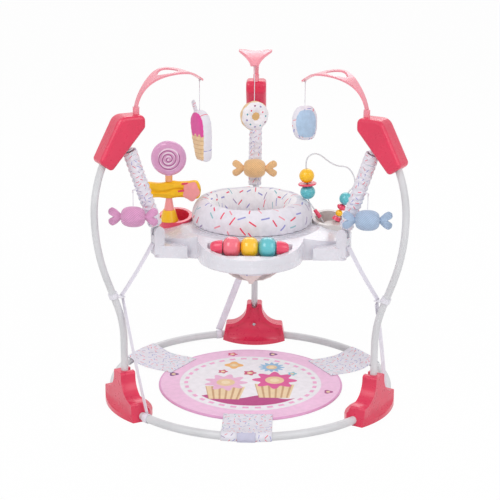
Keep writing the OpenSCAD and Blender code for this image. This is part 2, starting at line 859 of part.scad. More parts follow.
module toy_cord(a, length) {
    color(cloth_white)
        at(a)
            at_point(toy_pivot)
                hung_cord(length);
}

// Places a hanging toy with its top at the cord's lower end, turned about the cord
module hung_toy(a, length, turn) {
    at(a)
        at_point(toy_pivot - [0, length])
            rotate([0, 0, turn])
                children();
}

// Cushion shape: an outline bowed to a middle thickness on both faces
module bowed(w, h, t) {
    sag = t * 0.3;
    r = (w * w / 4 + sag * sag) / (2 * sag);
    r_tall = (h * h / 4 + sag * sag) / (2 * sag);
    intersection() {
        rotate([90, 0, 0])
            linear_extrude(t, center = true)
                children();
        bow_across(r - t / 2, r, h);
        bow_across(t / 2 - r, r, h);
        bow_along(r_tall - t / 2, r_tall, w, h);
        bow_along(t / 2 - r_tall, r_tall, w, h);
    }
}

module bow_across(y, r, h) {
    translate([0, y, -2 * h])
        cylinder(r = r, h = 3 * h, $fn = 128);
}

module bow_along(y, r, w, h) {
    translate([0, y, -h / 2])
        rotate([0, 90, 0])
            cylinder(r = r, h = 2 * w, center = true, $fn = 128);
}

module cone_toy() {
    scoop_r = cone_toy_w / 2;
    brim_share = 0.95;
    tip_w_share = 0.56;
    color(candy_pink)
        hung_toy(left_angle, cone_cord_len, cone_turn)
            bowed(cone_toy_w, cone_toy_h, cone_toy_t) {
                translate([0, -scoop_r])
                    circle(r = scoop_r);
                polygon([
                    [-scoop_r, -scoop_r], [scoop_r, -scoop_r], [scoop_r * brim_share, -2 * scoop_r],
                    [scoop_r * tip_w_share, -cone_toy_h], [-scoop_r * tip_w_share, -cone_toy_h],
                    [-scoop_r * brim_share, -2 * scoop_r]
                ]);
            }
}

module ring_toy() {
    tube_r = ring_toy_t / 2;
    web_share = 0.4;
    color(candy_pink)
        hung_toy(rear_angle, ring_cord_len, ring_turn)
            translate([0, 0, -ring_toy_d / 2])
                rotate([90, 0, 0])
                    rotate_extrude() {
                        translate([ring_toy_d / 2 - tube_r, 0])
                            circle(r = tube_r);
                        translate([0, -tube_r * web_share])
                            square([ring_toy_d / 2 - tube_r, 2 * tube_r * web_share]);
                    }
}

module cushion_toy() {
    corner = cushion_toy_w * 0.34;
    half = cushion_toy_w / 2 - corner;
    color(pale_blue)
        hung_toy(right_angle, cushion_cord_len, cushion_turn)
            bowed(cushion_toy_w, cushion_toy_h, cushion_toy_t) {
                for (x = [-half, half])
                    for (z = [-corner, -cushion_toy_h / 2, corner - cushion_toy_h])
                        translate([x, z])
                            circle(r = corner);
                translate([-half, -cushion_toy_h])
                    square([2 * half, cushion_toy_h]);
            }
}

// Spring end plug: eye round a pin at the origin, head towards +Z
module plug() {
    difference() {
        union() {
            rotate([90, 0, 0])
                cylinder(r = plug_eye_r, h = plug_w, center = true);
            cylinder(r = plug_w * 0.4, h = plug_len - plug_head_t / 2);
            translate([0, 0, plug_len - plug_head_t])
                cylinder(d = spring_d, h = plug_head_t);
        }
        rotate([90, 0, 0])
            cylinder(d = pin_d + 2 * move_gap, h = 2 * plug_w, center = true);
    }
}

module coil() {
    turns = spring_curls * coil_steps;
    rise = coil_end - coil_start;
    slope = atan2(rise, spring_curls * 2 * PI * coil_mean_r);
    swept([
        for (i = [0:turns])
            let (t = 360 * i / coil_steps)
            hoop(
                [coil_mean_r * cos(t), coil_mean_r * sin(t), coil_start + rise * i / turns],
                [cos(t), sin(t), 0],
                [-sin(slope) * sin(t), sin(slope) * cos(t), -cos(slope)],
                spring_wire_d / 2, coil_sides
            )
    ], coil_sides);
}

module coil_springs() {
    color(tube_white)
        for (a = stations)
            at(a)
                at_point(spring_b)
                    rotate([0, spring_lean, 0]) {
                        plug();
                        coil();
                        translate([0, 0, spring_len])
                            mirror([0, 0, 1])
                                plug();
                    }
}

// Gathered sleeve round a spring
module cover_sleeve() {
    steps = 6 * cover_gathers;
    edge = [
        for (k = [0:steps])
            [
                cover_d / 2 - cover_gather * (1 + cos(360 * k * cover_gathers / steps)) / 2,
                spring_len - cover_end + (cover_end - cover_start) * k / steps
            ]
    ];
    rotate_extrude()
        polygon(concat(edge, [[cover_bore_r, edge[steps][1]], [cover_bore_r, edge[0][1]]]));
}

// Cover with the sewn loop of its sweet: the loop's height, direction and length
module cover(a, loop_z, yaw, length) {
    color(cloth_white)
        at(a) {
            at_point(spring_b)
                rotate([0, spring_lean, 0])
                    cover_sleeve();
            at_point([loop_r(loop_z), loop_z])
                rotate([0, 90, yaw])
                    translate([0, 0, cover_bore_r + loop_d / 2])
                        cylinder(d = loop_d, h = length - cover_bore_r, $fn = 32);
        }
}

// Distance of a cover's axis from the middle at a height
function loop_r(z) = spring_b[0] + (z - spring_b[1]) * tan(spring_lean);

// Upper end of a sweet's cord, in its station's frame
function candy_pivot(z, yaw, length) = [
    loop_r(z) + length * cos(yaw), length * sin(yaw), z - loop_d / 2 - move_gap - knot_d / 2
];

module hung_candy(a, z, yaw, length) {
    at(a)
        translate(candy_pivot(z + candy_drop, yaw, length))
            rotate([0, 0, -a])
                children();
}

// Stuffed sweet along X with two-lobed wings, its top at the origin
module sweet(tint) {
    steps = 14;
    half = candy_body_len / 2;
    neck_share = 0.24;
    wing_len = (candy_len - candy_body_len) / 2;
    barrel = [
        for (k = [0:steps])
            let (u = 2 * k / steps - 1)
            [candy_d / 2 * (neck_share + (1 - neck_share) * sqrt(max(0, 1 - pow(abs(u), 2.2)))), u * half]
    ];
    color(tint)
        translate([0, 0, -candy_d / 2])
            rotate([0, 90, 0]) {
                rotate_extrude()
                    polygon(concat([[0, -half]], barrel, [[0, half]]));
                for (s = [0, 1])
                    mirror([0, 0, s])
                        for (w = [-wing_a, wing_a])
                            translate([0, 0, half - candy_wing_d / 4])
                                rotate([0, w, 0])
                                    wing(wing_len);
            }
}

// One lobe of a sweet's wing
module wing(length) {
    reach = length / cos(wing_a) - candy_wing_d / 2;
    cylinder(r1 = candy_wing_d / 3.6, r2 = candy_wing_d / 2, h = reach, $fn = 32);
    translate([0, 0, reach])
        sphere(d = candy_wing_d, $fn = 32);
}

module candy(a, z, yaw, length, tint) {
    hung_candy(a, z, yaw, length)
        translate([0, 0, -knot_d / 2 - candy_cord_len])
            sweet(tint);
}

module candy_cord(a, z, yaw, length) {
    color(cloth_white)
        hung_candy(a, z, yaw, length)
            hung_cord(candy_cord_len + knot_d / 2);
}

// Tray's outline from above
module tray_outline(inset) {
    circle(r = core_r - inset, $fn = 128);
    for (a = lobe_angles)
        rotate([0, 0, a])
            translate([lobe_d, 0])
                circle(r = lobe_r - inset, $fn = 128);
    translate([0, tongue_d])
        circle(r = tongue_r - inset, $fn = 128);
    translate([-tongue_r + inset, 0])
        square([2 * (tongue_r - inset), tongue_d]);
}

// Everything under the deck: flat round the seat, falling to the rim
module under_deck(drop) {
    rotate_extrude($fn = 128)
        polygon([
            [0, tray_seam_z - cut], [deck_reach, tray_seam_z - cut],
            [deck_reach, tray_deck_z - drop - deck_slope * (deck_reach - core_r)],
            [core_r, tray_deck_z - drop], [0, tray_deck_z - drop]
        ]);
}

module deck_block(inset, drop) {
    intersection() {
        translate([0, 0, tray_seam_z - (inset > 0 ? cut : 0)])
            linear_extrude(tray_deck_z)
                tray_outline(inset);
        under_deck(drop);
    }
}

// Shelf and well of the roller toy, grown by a margin
module console_pocket(grow) {
    translate([0, 0, shelf_z - grow])
        linear_extrude(tray_deck_z)
            intersection() {
                translate([-lobe_r * shelf_half_share - grow, -shelf_front - grow])
                    square([2 * (lobe_r * shelf_half_share + grow), shelf_front - shelf_back + 2 * grow]);
                tray_outline(3 * tray_wall - grow);
            }
    translate([-well_half - grow, -roller_y - well_half_y - grow, well_z - grow])
        cube([2 * (well_half + grow), 2 * (well_half_y + grow), tray_deck_z]);
}

module dish_wells(grow) {
    for (s = [-1, 1])
        translate([s * dish_x, dish_y, dish_floor_z - grow])
            cylinder(r = dish_r + socket_gap + grow, h = tray_deck_z);
}

module tray_top() {
    color(tray_white)
        difference() {
            union() {
                difference() {
                    deck_block(0, 0);
                    deck_block(tray_wall, tray_wall);
                }
                intersection() {
                    deck_block(0, 0);
                    union() {
                        console_pocket(tray_wall);
                        dish_wells(tray_wall);
                    }
                }
            }
            console_pocket(0);
            dish_wells(0);
            cylinder(r = seat_hole_r, h = 2 * tray_deck_z, $fn = 128);
        }
}

// Spring ear with a slotted head, a hook bar and a wing that widens to the tray
module ear(root_share) {
    head_r = ear_depth / 2;
    translate([ear_r, 0, 0])
        difference() {
            tangential_extrude(ear_w) {
                translate([-head_r, ear_foot_z])
                    square([ear_depth, ear_hook_z - ear_foot_z]);
                translate([0, ear_hook_z])
                    circle(r = head_r);
            }
            translate([-ear_depth, ear_cheek - ear_w / 2, ear_slot_z])
                cube([2 * ear_depth, ear_w - 2 * ear_cheek, ear_hook_z]);
        }
    translate([ear_r, 0, ear_hook_z])
        rotate([90, 0, 0])
            cylinder(d = pin_d, h = ear_w, center = true);
    translate([0, 0, tray_z + 2 * tray_wall])
        linear_extrude(tray_rim_z - tray_z - 2 * tray_wall) {
            translate([ear_r - head_r / 2, 0])
                circle(d = ear_w * ear_wing_share);
            polygon([
                [ear_r * root_share, -2 * ear_w], [ear_r - head_r / 2, -ear_w * ear_wing_share / 2],
                [ear_r - head_r / 2, ear_w * ear_wing_share / 2], [ear_r * root_share, 2 * ear_w]
            ]);
        }
}

// Disc of the tray's underside with a rounded lower edge
module pan_disc(r) {
    edge = 2 * tray_wall;
    arc = [for (k = [-4:0]) [r - edge + edge * cos(22.5 * k), tray_z + edge + edge * sin(22.5 * k)]];
    rotate_extrude($fn = 128)
        polygon(concat([[0, tray_z]], arc, [[r, tray_seam_z], [0, tray_seam_z]]));
}

// Tray's underside as a solid: the outline's discs and the neck of the rear tongue
module tray_pan() {
    pan_disc(core_r);
    for (a = lobe_angles)
        rotate([0, 0, a])
            translate([lobe_d, 0, 0])
                pan_disc(lobe_r);
    translate([0, tongue_d, 0])
        pan_disc(tongue_r);
    translate([-tongue_r, 0, tray_z + 2 * tray_wall])
        cube([2 * tongue_r, tongue_d, tray_seam_z - tray_z - 2 * tray_wall]);
    translate([-tongue_r + 2 * tray_wall, 0, tray_z])
        cube([2 * (tongue_r - 2 * tray_wall), tongue_d, tray_seam_z - tray_z]);
}

module tray_bottom() {
    color(tray_white)
        difference() {
            union() {
                difference() {
                    tray_pan();
                    translate([0, 0, tray_z + tray_wall])
                        linear_extrude(tray_seam_z)
                            tray_outline(tray_wall);
                }
                for (i = [0:2])
                    at(stations[i])
                        difference() {
                            ear(ear_root_shares[i]);
                            rotate([0, 0, -stations[i]])
                                translate([0, 0, tray_seam_z])
                                    linear_extrude(tray_seam_z)
                                        tray_outline(-move_gap / 2);
                        }
            }
            translate([0, 0, tray_z - cut])
                cylinder(r = bottom_hole_r, h = tray_seam_z, $fn = 128);
        }
}

module seat_ring() {
    lip_top = tray_deck_z - tray_wall - move_gap;
    color(tray_white)
        rotate_extrude($fn = 128)
            polygon([
                [ring_bore_r, ring_flange_z], [ring_neck_r - tray_wall, ring_flange_z],
                [ring_neck_r - tray_wall, lip_top - 2 * tray_wall], [ring_neck_r, lip_top - 2 * tray_wall],
                [ring_lip_r, lip_top - tray_wall], [ring_lip_r, lip_top], [ring_neck_r, lip_top],
                [ring_neck_r, ring_flange_z], [ring_flange_r, ring_flange_z],
                [ring_flange_r, hem_z], [ring_bore_r, hem_z]
            ]);
}

module seat_pad() {
    low = sin(pad_tuck_a);
    color(cloth_white)
        rotate_extrude($fn = 128)
            polygon([
                for (k = [0:pad_steps])
                    let (a = (180 + 2 * pad_tuck_a) * k / pad_steps - pad_tuck_a)
                    [pad_mid_r + pad_half_w * cos(a), pad_z + pad_h * (sin(a) + low) / (1 + low)]
            ]);
}

module seat_bag() {
    outer = [for (p = bag_shares) [bag_r * p[0], bag_z + bag_depth * p[1]]];
    last = len(outer) - 1;
    inner = [for (k = [last:-1:0]) [outer[k][0] - bag_t, outer[k][1] + (k == 0 ? hem_t : bag_t)]];
    color(cloth_white)
        difference() {
            rotate_extrude($fn = 128)
                polygon(concat(
                    [[ring_flange_r * 0.94, hem_z + hem_t], [ring_flange_r * 0.94, hem_z]],
                    outer, [[0, bag_z], [0, bag_z + bag_t]], inner
                ));
            for (s = [-1, 1])
                rotate([0, 0, -90 + s * leg_hole_a])
                    translate([0, 0, bag_z + bag_depth * leg_hole_z_share])
                        rotate([0, 90 + leg_hole_tilt, 0])
                            cylinder(d = leg_hole_d, h = 2 * bag_r);
        }
}

module roller_axle() {
    reach = 1.5 * roller_len + wrapper_len * 0.7;
    color(tube_white)
        translate([-reach, -roller_y, roller_z])
            rotate([0, 90, 0])
                cylinder(d = axle_d, h = 2 * reach);
}

module roller(place, tint) {
    edge = roller_d * roller_edge_share;
    half = (roller_len - move_gap) / 2;
    arc = [for (k = [0:5]) [roller_d / 2 - edge + edge * cos(18 * k), half - edge + edge * sin(18 * k)]];
    color(tint)
        translate([place * roller_len, -roller_y, roller_z])
            rotate([0, 90, 0])
                rotate_extrude()
                    polygon(concat(
                        [[axle_d / 2 + run_gap, -half]], [for (k = [5:-1:0]) [arc[k][0], -arc[k][1]]],
                        arc, [[axle_d / 2 + run_gap, half]]
                    ));
}

module wrapper_ends() {
    steps = 10;
    start = 1.5 * roller_len + 2 * move_gap;
    bell = [
        for (k = [0:steps])
            [wrapper_d / 2 * (0.3 + 0.7 * sqrt(1 - pow(k / steps, 2))), wrapper_len * k / steps]
    ];
    color(red)
        for (s = [0, 1])
            mirror([s, 0, 0])
                difference() {
                    translate([start, -roller_y, roller_z])
                        rotate([0, 90, 0])
                            rotate_extrude()
                                polygon(concat([[0, 0]], bell, [[0, wrapper_len]]));
                    translate([start - cut, -roller_y - wrapper_d, shelf_z - wrapper_d])
                        cube([2 * wrapper_len, 2 * wrapper_d, wrapper_d]);
                    translate([0, -roller_y, roller_z])
                        rotate([0, 90, 0])
                            cylinder(d = axle_d + 2 * socket_gap, h = start + wrapper_len * 0.7);
                    translate([0, 0, shelf_z - wrapper_d])
                        linear_extrude(wrapper_d * (1 + toe_share))
                            difference() {
                                square(4 * lobe_r, center = true);
                                tray_outline(3 * tray_wall + move_gap);
                            }
                }
}

// Round dish with a rising back and a hollow behind the toy's seat
module dish() {
    hollow_r = dish_r * 0.8;
    seat_r = cup_d / 2;
    difference() {
        cylinder(r = dish_r, h = dish_h + dish_rise);
        translate([0, -dish_r, dish_h])
            rotate([dish_tilt, 0, 0])
                translate([-2 * dish_r, -dish_r, 0])
                    cube([4 * dish_r, 4 * dish_r, 2 * dish_h]);
        difference() {
            translate([0, 0, dish_h * 0.45])
                cylinder(r = hollow_r, h = 2 * dish_h);
            translate([-lolly_out, -lolly_front, 0])
                cylinder(r = seat_r + tray_wall, h = dish_h + dish_rise);
        }
        translate([-lolly_out, -lolly_front, dish_h])
            cylinder(r = seat_r + tray_wall + cut, h = dish_h);
    }
}

module lolly_dish() {
    color(red)
        translate([-dish_x, dish_y, dish_floor_z])
            dish();
}

module bead_dish() {
    color(beige)
        translate([dish_x, dish_y, dish_floor_z])
            mirror([1, 0, 0])
                dish();
}

module lolly_cup() {
    color(yellow)
        translate([lolly_x, lolly_y, cup_z])
            difference() {
                cylinder(d1 = cup_d, d2 = cup_top_d, h = cup_h);
                translate([0, 0, cup_h / 2])
                    cylinder(d = stem_pin_d + 2 * socket_gap, h = cup_h);
            }
}

module lolly_stem() {
    pin_z = cup_z + cup_h / 2 + move_gap;
    color(pale_pink)
        translate([lolly_x, lolly_y, 0]) {
            translate([0, 0, stem_z])
                cylinder(d1 = cup_top_d * 0.85, d2 = cup_top_d * 0.5, h = stem_h);
            translate([0, 0, pin_z])
                cylinder(d = stem_pin_d, h = stem_pin_top - pin_z);
        }
}

// Bow of folded ribbon round the stem: two full ends drawn in at the middle
module lolly_ribbon() {
    steps = 16;
    half = ribbon_len / 2;
    waist_share = 0.62;
    bow = [
        for (k = [0:steps])
            let (u = 2 * k / steps - 1)
            [
                ribbon_h / 2 * (waist_share + (1 - waist_share) * sin(180 * abs(u))) * sqrt(max(0, 1 - pow(abs(u), 6))),
                u * half
            ]
    ];
    color(yellow)
        difference() {
            intersection() {
                translate([lolly_x, lolly_y, ribbon_z + ribbon_h / 2])
                    rotate([0, 90, 0])
                        rotate_extrude()
                            polygon(concat([[0, -half]], bow, [[0, half]]));
                translate([lolly_x - half, lolly_y - ribbon_h * 0.35, ribbon_z])
                    cube([ribbon_len, ribbon_h * 0.7, ribbon_h]);
            }
            translate([lolly_x, lolly_y, ribbon_z - ribbon_h])
                cylinder(d = stem_pin_d + 4 * move_gap, h = 3 * ribbon_h);
        }
}

module lolly_disc() {
    edge = lolly_t / 2;
    color(candy_pink)
        translate([lolly_x, lolly_y, 0])
            difference() {
                union() {
                    translate([0, 0, lolly_z])
                        rotate([90, 0, 0])
                            rotate_extrude() {
                                translate([lolly_d / 2 - edge, 0])
                                    circle(r = edge);
                                translate([0, -edge])
                                    square([lolly_d / 2 - edge, lolly_t]);
                            }
                    translate([0, 0, neck_z])
                        cylinder(d = cup_top_d * 0.6, h = neck_h);
                }
                translate([0, 0, neck_z - cut])
                    cylinder(d = stem_pin_d + 2 * run_gap, h = neck_h + cut + move_gap);
            }
}

function wire_point(p) = [wire_x + wire_h * p[0], wire_y, wire_base_z + wire_h * p[1]];

module bead_wire() {
    line = smooth([for (p = wire_shares) wire_point(p)], wire_steps);
    last = len(line) - 1;
    color(tube_white)
        swept([
            for (i = [0:last])
                let (d = line[min(i + 1, last)] - line[max(i - 1, 0)], t = d / norm(d))
                hoop(line[i], [t[2], 0, -t[0]], [0, 1, 0], wire_d / 2, wire_sides)
        ], wire_sides);
}

// Places children on the wire's left straight, its sleeve or its right end, along it, at a share of its height
module on_left(share) {
    translate(wire_point([left_low[0] + (share - left_low[1]) * tan(left_lean), share]))
        rotate([0, left_lean, 0])
            children();
}

module on_sleeve(share) {
    translate(wire_point([wire_shares[0][0] + (share - wire_shares[0][1]) * tan(sleeve_lean), share]))
        rotate([0, sleeve_lean, 0])
            children();
}

module on_right(share) {
    translate(wire_point([wire_shares[wire_end][0] + share * tan(right_lean), share]))
        rotate([0, right_lean, 0])
            children();
}

module bead_bases() {
    tall = wire_h * 0.13;
    low = wire_h * 0.05;
    color(red) {
        on_sleeve(0.06)
            difference() {
                cylinder(d1 = flat_bead_d * 0.24, d2 = flat_bead_d * 0.2, h = tall);
                translate([0, 0, -tall])
                    cylinder(d = bead_hole_d, h = 3 * tall);
            }
        on_right(0.027)
            difference() {
                cylinder(d1 = flat_bead_d * 0.5, d2 = flat_bead_d * 0.36, h = low);
                translate([0, 0, -tall])
                    cylinder(d = bead_hole_d, h = 3 * tall);
            }
    }
}

// Round bead, flattened along the wire
module bead_ball(d, flat) {
    steps = 14;
    difference() {
        rotate_extrude()
            polygon([for (k = [0:steps]) d / 2 * [cos(180 * k / steps - 90), flat * sin(180 * k / steps - 90)]]);
        cylinder(d = bead_hole_d, h = 2 * d, center = true);
    }
}

module bead_disc(d, t) {
    difference() {
        cylinder(d = d, h = t, center = true);
        cylinder(d = bead_hole_d, h = 2 * t, center = true);
    }
}

module beads_left() {
    ball_share = 0.42;
    low = bead_flat_share * bead_d / 2 + flat_bead_t / 2 + move_gap / 2;
    color(teal)
        on_left(ball_share)
            bead_ball(bead_d, bead_flat_share);
    color(red)
        on_left(ball_share)
            translate([0, 0, low])
                bead_disc(flat_bead_d, flat_bead_t);
    color(yellow)
        on_left(ball_share)
            translate([0, 0, 2 * low])
                bead_ball(bead_d, bead_flat_share);
}

module beads_right() {
    ball_share = 0.33;
    color(teal)
        on_right(ball_share)
            bead_ball(small_bead_d, bead_flat_share);
    color(red)
        on_right(ball_share)
            translate([0, 0, -small_bead_d * 0.72])
                bead_ball(small_bead_d * 0.76, small_flat_share);
    color(yellow)
        on_right(ball_share)
            translate([0, 0, -small_bead_d * 1.22])
                bead_ball(small_bead_d * 0.54, bead_flat_share);
}

// Flat strap between two points, its width level and then turned about its length by spin
module tape(p, q, margin, spin) {
    d = q - p;
    length = norm(d);
    translate(p)
        rotate([0, acos(d[2] / length), atan2(d[1], d[0])])
            rotate([0, 0, spin])
                translate([-strap_t / 2, -strap_w / 2, margin])
                    cube([strap_t, strap_w, length - 2 * margin]);
}

module upper_straps() {
    color(cloth_white)
        for (a = stations)
            at(a)
                tape(
                    [strap_top[0] + strap_t * 0.4, 0, strap_top[1]],
                    [strap_turn[0], 0, strap_turn[1] + keeper_t + strap_t / 2], 0, 0
                );
}

module lower_straps() {
    foot_p = [ring_r * cos(strap_foot_a), ring_r * sin(strap_foot_a), ring_z + ring_tube_r + strap_t];
    color(cloth_white)
        for (a = stations)
            at(a) {
                tape(
                    [strap_turn[0] - 2 * strap_t, 0, strap_turn[1] - strap_t], foot_p,
                    strap_w * strap_lift_share, 90
                );
                translate([foot_p[0], foot_p[1], ring_z])
                    rotate([-90, 0, strap_foot_a])
                        difference() {
                            cylinder(r = ring_tube_r + strap_t + tab_gap, h = loop_len, center = true);
                            cylinder(r = ring_tube_r + tab_gap, h = 2 * loop_len, center = true);
                        }
            }
}

module strap_keepers() {
    color(tray_white)
        for (a = stations)
            at(a)
                difference() {
                    union() {
                        at_point(keeper_p)
                            rotate([0, leg_lean, 0])
                                cylinder(r = leg_r + keeper_t, h = keeper_h, center = true);
                        translate([keeper_tip, -strap_w / 2, keeper_z])
                            cube([keeper_reach, strap_w, keeper_t]);
                    }
                    at_point(keeper_p)
                        rotate([0, leg_lean, 0])
                            cylinder(r = leg_r + socket_gap, h = 4 * keeper_h, center = true);
                }
}

module play_mat() {
    edge = mat_t / 2;
    arc = [for (k = [-4:4]) [mat_r - edge + edge * cos(22.5 * k), edge + edge * sin(22.5 * k)]];
    color(cloth_white)
        rotate_extrude($fn = 128)
            polygon(concat([[0, 0]], arc, [[0, mat_t]]));
}

module mat_tabs() {
    strip_x = mat_r * 0.9;
    strip_z = mat_t + tab_gap;
    color(cloth_white)
        for (a = tab_stations)
            at(a)
                difference() {
                    union() {
                        translate([strip_x, -tab_w / 2, strip_z])
                            cube([ring_r - strip_x, tab_w, tab_t]);
                        rotate([0, 0, -tab_a / 2])
                            rotate_extrude(angle = tab_a, $fn = 128)
                                translate([ring_r, ring_z])
                                    circle(r = sleeve_r);
                    }
                    rotate([0, 0, -tab_a])
                        rotate_extrude(angle = 2 * tab_a, $fn = 128)
                            translate([ring_r, ring_z])
                                circle(r = ring_tube_r + tab_gap);
                }
}

base_tube(left_angle);  // base_tube_front
base_tube(rear_angle);  // base_tube_rear_left
base_tube(right_angle);  // base_tube_rear_right
foot(left_angle);  // foot_left
foot(right_angle);  // foot_right
foot(rear_angle);  // foot_rear
leg(left_angle);  // leg_left
leg(right_angle);  // leg_right
leg(rear_angle);  // leg_rear
button(left_angle);  // button_left
button(right_angle);  // button_right
button(rear_angle);  // button_rear
elbow(left_angle);  // elbow_left
elbow(right_angle);  // elbow_right
elbow(rear_angle);  // elbow_rear
spring_pins();
arm(left_angle);  // arm_left
arm(right_angle);  // arm_right
arm(rear_angle);  // arm_rear
cone_toy();
ring_toy();
cushion_toy();
toy_cord(left_angle, cone_cord_len);  // cone_cord
toy_cord(rear_angle, ring_cord_len);  // ring_cord
toy_cord(right_angle, cushion_cord_len);  // cushion_cord
coil_springs();
cover(left_angle, candy_z + candy_drop, side_loop_yaw, side_loop_len);  // cover_left
cover(right_angle, candy_z + candy_drop, -side_loop_yaw, side_loop_len);  // cover_right
cover(rear_angle, candy_rear_z + candy_drop, 180, rear_loop_len);  // cover_rear
candy(left_angle, candy_z, side_loop_yaw, side_loop_len, candy_pink);  // candy_left
candy(right_angle, candy_z, -side_loop_yaw, side_loop_len, pale_blue);  // candy_right
candy(rear_angle, candy_rear_z, 180, rear_loop_len, orange);  // candy_rear
candy_cord(left_angle, candy_z, side_loop_yaw, side_loop_len);  // candy_cord_left
candy_cord(right_angle, candy_z, -side_loop_yaw, side_loop_len);  // candy_cord_right
candy_cord(rear_angle, candy_rear_z, 180, rear_loop_len);  // candy_cord_rear
tray_top();
tray_bottom();
seat_ring();
seat_pad();
seat_bag();
roller_axle();
roller(-1, candy_pink);  // roller_left
roller(0, yellow);  // roller_middle
roller(1, teal);  // roller_right
wrapper_ends();
lolly_dish();
lolly_cup();
lolly_stem();
lolly_ribbon();
lolly_disc();
bead_dish();
bead_wire();
bead_bases();
beads_left();
beads_right();
upper_straps();
lower_straps();
strap_keepers();
play_mat();
mat_tabs();
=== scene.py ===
import math

import bmesh
import bpy
import numpy as np
from mathutils import Matrix, Vector


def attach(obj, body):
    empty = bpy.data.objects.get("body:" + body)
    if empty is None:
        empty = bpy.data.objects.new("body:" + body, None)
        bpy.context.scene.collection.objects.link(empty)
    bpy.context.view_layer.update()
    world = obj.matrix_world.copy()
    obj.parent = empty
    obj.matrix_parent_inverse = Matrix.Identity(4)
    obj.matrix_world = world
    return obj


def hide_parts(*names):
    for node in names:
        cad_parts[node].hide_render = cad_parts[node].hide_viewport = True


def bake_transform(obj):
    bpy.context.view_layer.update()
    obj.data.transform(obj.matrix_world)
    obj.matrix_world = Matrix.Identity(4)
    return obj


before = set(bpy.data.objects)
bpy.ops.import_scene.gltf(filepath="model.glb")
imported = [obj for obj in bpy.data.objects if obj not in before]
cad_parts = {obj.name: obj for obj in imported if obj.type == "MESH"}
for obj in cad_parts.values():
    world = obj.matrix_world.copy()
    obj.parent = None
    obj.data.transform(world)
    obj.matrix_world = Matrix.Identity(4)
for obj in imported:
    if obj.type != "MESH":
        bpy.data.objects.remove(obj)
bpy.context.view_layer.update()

bl_info = {
    "name": "Baby jumper dressing",
    "version": (1, 0, 0),
    "blender": (4, 5, 0),
    "location": "View3D > Sidebar > Jumper",
    "description": "Cloth, mouldings, toys, straps, mat and a studio round the packed baby jumper",
    "category": "Object",
}

MM = 0.001
TURN = 2 * math.pi

# Stations of the three legs and of the mat's tabs, degrees round the floor ring
STATIONS = {"left": 210.0, "right": 330.0, "rear": 90.0}
TAB_STATIONS = {"front": 270.0, "right": 30.0, "left": 150.0}

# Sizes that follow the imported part, millimetres; a pair is the radius and height of a station's point
RING_R, RING_Z = 385.0, 13.8
SPRING_A = np.array([368.25, 739.02])
SPRING_B = np.array([283.0, 490.0])
SPRING_LEN = float(np.linalg.norm(SPRING_A - SPRING_B))
SPRING_LEAN = math.atan2(SPRING_A[0] - SPRING_B[0], SPRING_A[1] - SPRING_B[1])
LOLLY = np.array([-226.0, -5.0, 655.3])
RIBBON_Z, RIBBON_LEN, RIBBON_H, RIBBON_DEEP = 568.2, 155.0, 46.0, 15.6
WIRE_BASE = np.array([210.0, 10.0, 481.0])
WIRE_H = 196.0

# Hanging toys: cords in millimetres, turns and tilt in degrees
TOY_PIVOT = np.array([158.67, 880.92])
TOY_CORD = {"left": 78.0, "rear": 98.0, "right": 62.0}
TOY_TURN = {"left": -84.0, "rear": 113.0, "right": -130.0}
TOY_BODY = {"left": "cone_toy", "rear": "ring_toy", "right": "cushion_toy"}
CORD_D, KNOT_D = 2.0, 5.0
CONE_TILT = 5.0
# Rows of the stuffed grids at which their second cloth starts; on the seat cushion the second is the same
# print on a paler ground, painted light that lifts the shade of its inner faces
CONE_FACE_ROWS, CUSHION_FACE_ROWS, PAINTED_LIGHT_ROW = 16, 10, 31

# Sweets: radius and half length of the barrel, root of a wing, drop of the middle below the cord
SWEET_R, SWEET_HALF, SWEET_ROOT, SWEET_DROP = 27.3, 31.5, 28.0, 27.5
SWEET_CORD = 36.5
SWEET_PIVOT = {
    "left": (-303.13, -189.55, 606.5), "right": (303.13, -189.55, 606.5), "rear": (0.0, 257.39, 631.5),
}
# Flattening of the side sweets' backs and their set forward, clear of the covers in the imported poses
SWEET_BACK = (0.7, 5.0)
# Width of a stripe's repeat on the cloth, metres
SWEET_STRIPE = 0.0064

# Lollipop's spiral: pitch, the turns between which it runs, and the face's distance from the middle
SPIRAL_PITCH, SPIRAL_TURNS, LOLLY_FACE = 10.2, (0.3, 3.1), 13.1
# Height below the disc's middle where its neck starts, metres
LOLLY_NECK = 0.0465

# Beads of the wire's two ends: foot of the end and its slope as shares of the wire's height, share at which
# the first bead sits, and each bead's colour, diameter, flattening (0 for a disc) and rise; a step is half
# a ball and half a disc with their gap
BEAD_STEP = 0.97 * 20.5 + 2.7
BEADS = {
    "beads_left": (
        (-0.2925, 0.315), -0.08025, 0.42,
        (("teal", 41.0, 0.97, 0), ("red", 50.0, 0, BEAD_STEP), ("yellow", 41.0, 0.97, 2 * BEAD_STEP)),
    ),
    "beads_right": (
        (0.088, 0.0), 0.42625, 0.33,
        (("teal", 36.0, 0.97, 0), ("red", 27.36, 0.6, -25.92), ("yellow", 19.44, 0.97, -43.92)),
    ),
}
DISC_T, BORE_R, HOLE_R = 5.0, 2.8, 3.4

# Springs: the coil and its distance from the ends, the plugs' length, and the covers
COIL_R, COIL_WIRE_R, COIL_TURNS, COIL_END = 10.5, 1.45, 14, 26.0
PLUG_LEN, EYE_R, EYE_WIRE_R = 24.0, 5.3, 1.7
PLUG_HEAD = (
    (0, 3.0), (4.2, 3.0), (4.2, 19), (11.2, 20.6), (12, 21.4), (12, 23.4), (11.4, PLUG_LEN), (0, PLUG_LEN),
)
COVER_R, COVER_BORE_R, COVER_LOW, COVER_HIGH, COVER_GATHERS = 19.4, 12.9, 21.0, 26.0, 15
# Height along the spring for the rear cover's lower end, worked out in the springs step but not used by the
# cover
REAR_COVER_TIE = 62.0
# Sewn loop of a sweet: rise over the pivot, root's distance from the spring, run past the knot, and radius
LOOP_RISE, LOOP_ROOT, LOOP_PAST, LOOP_R = 4.7, 13.5, 2.2, 1.8

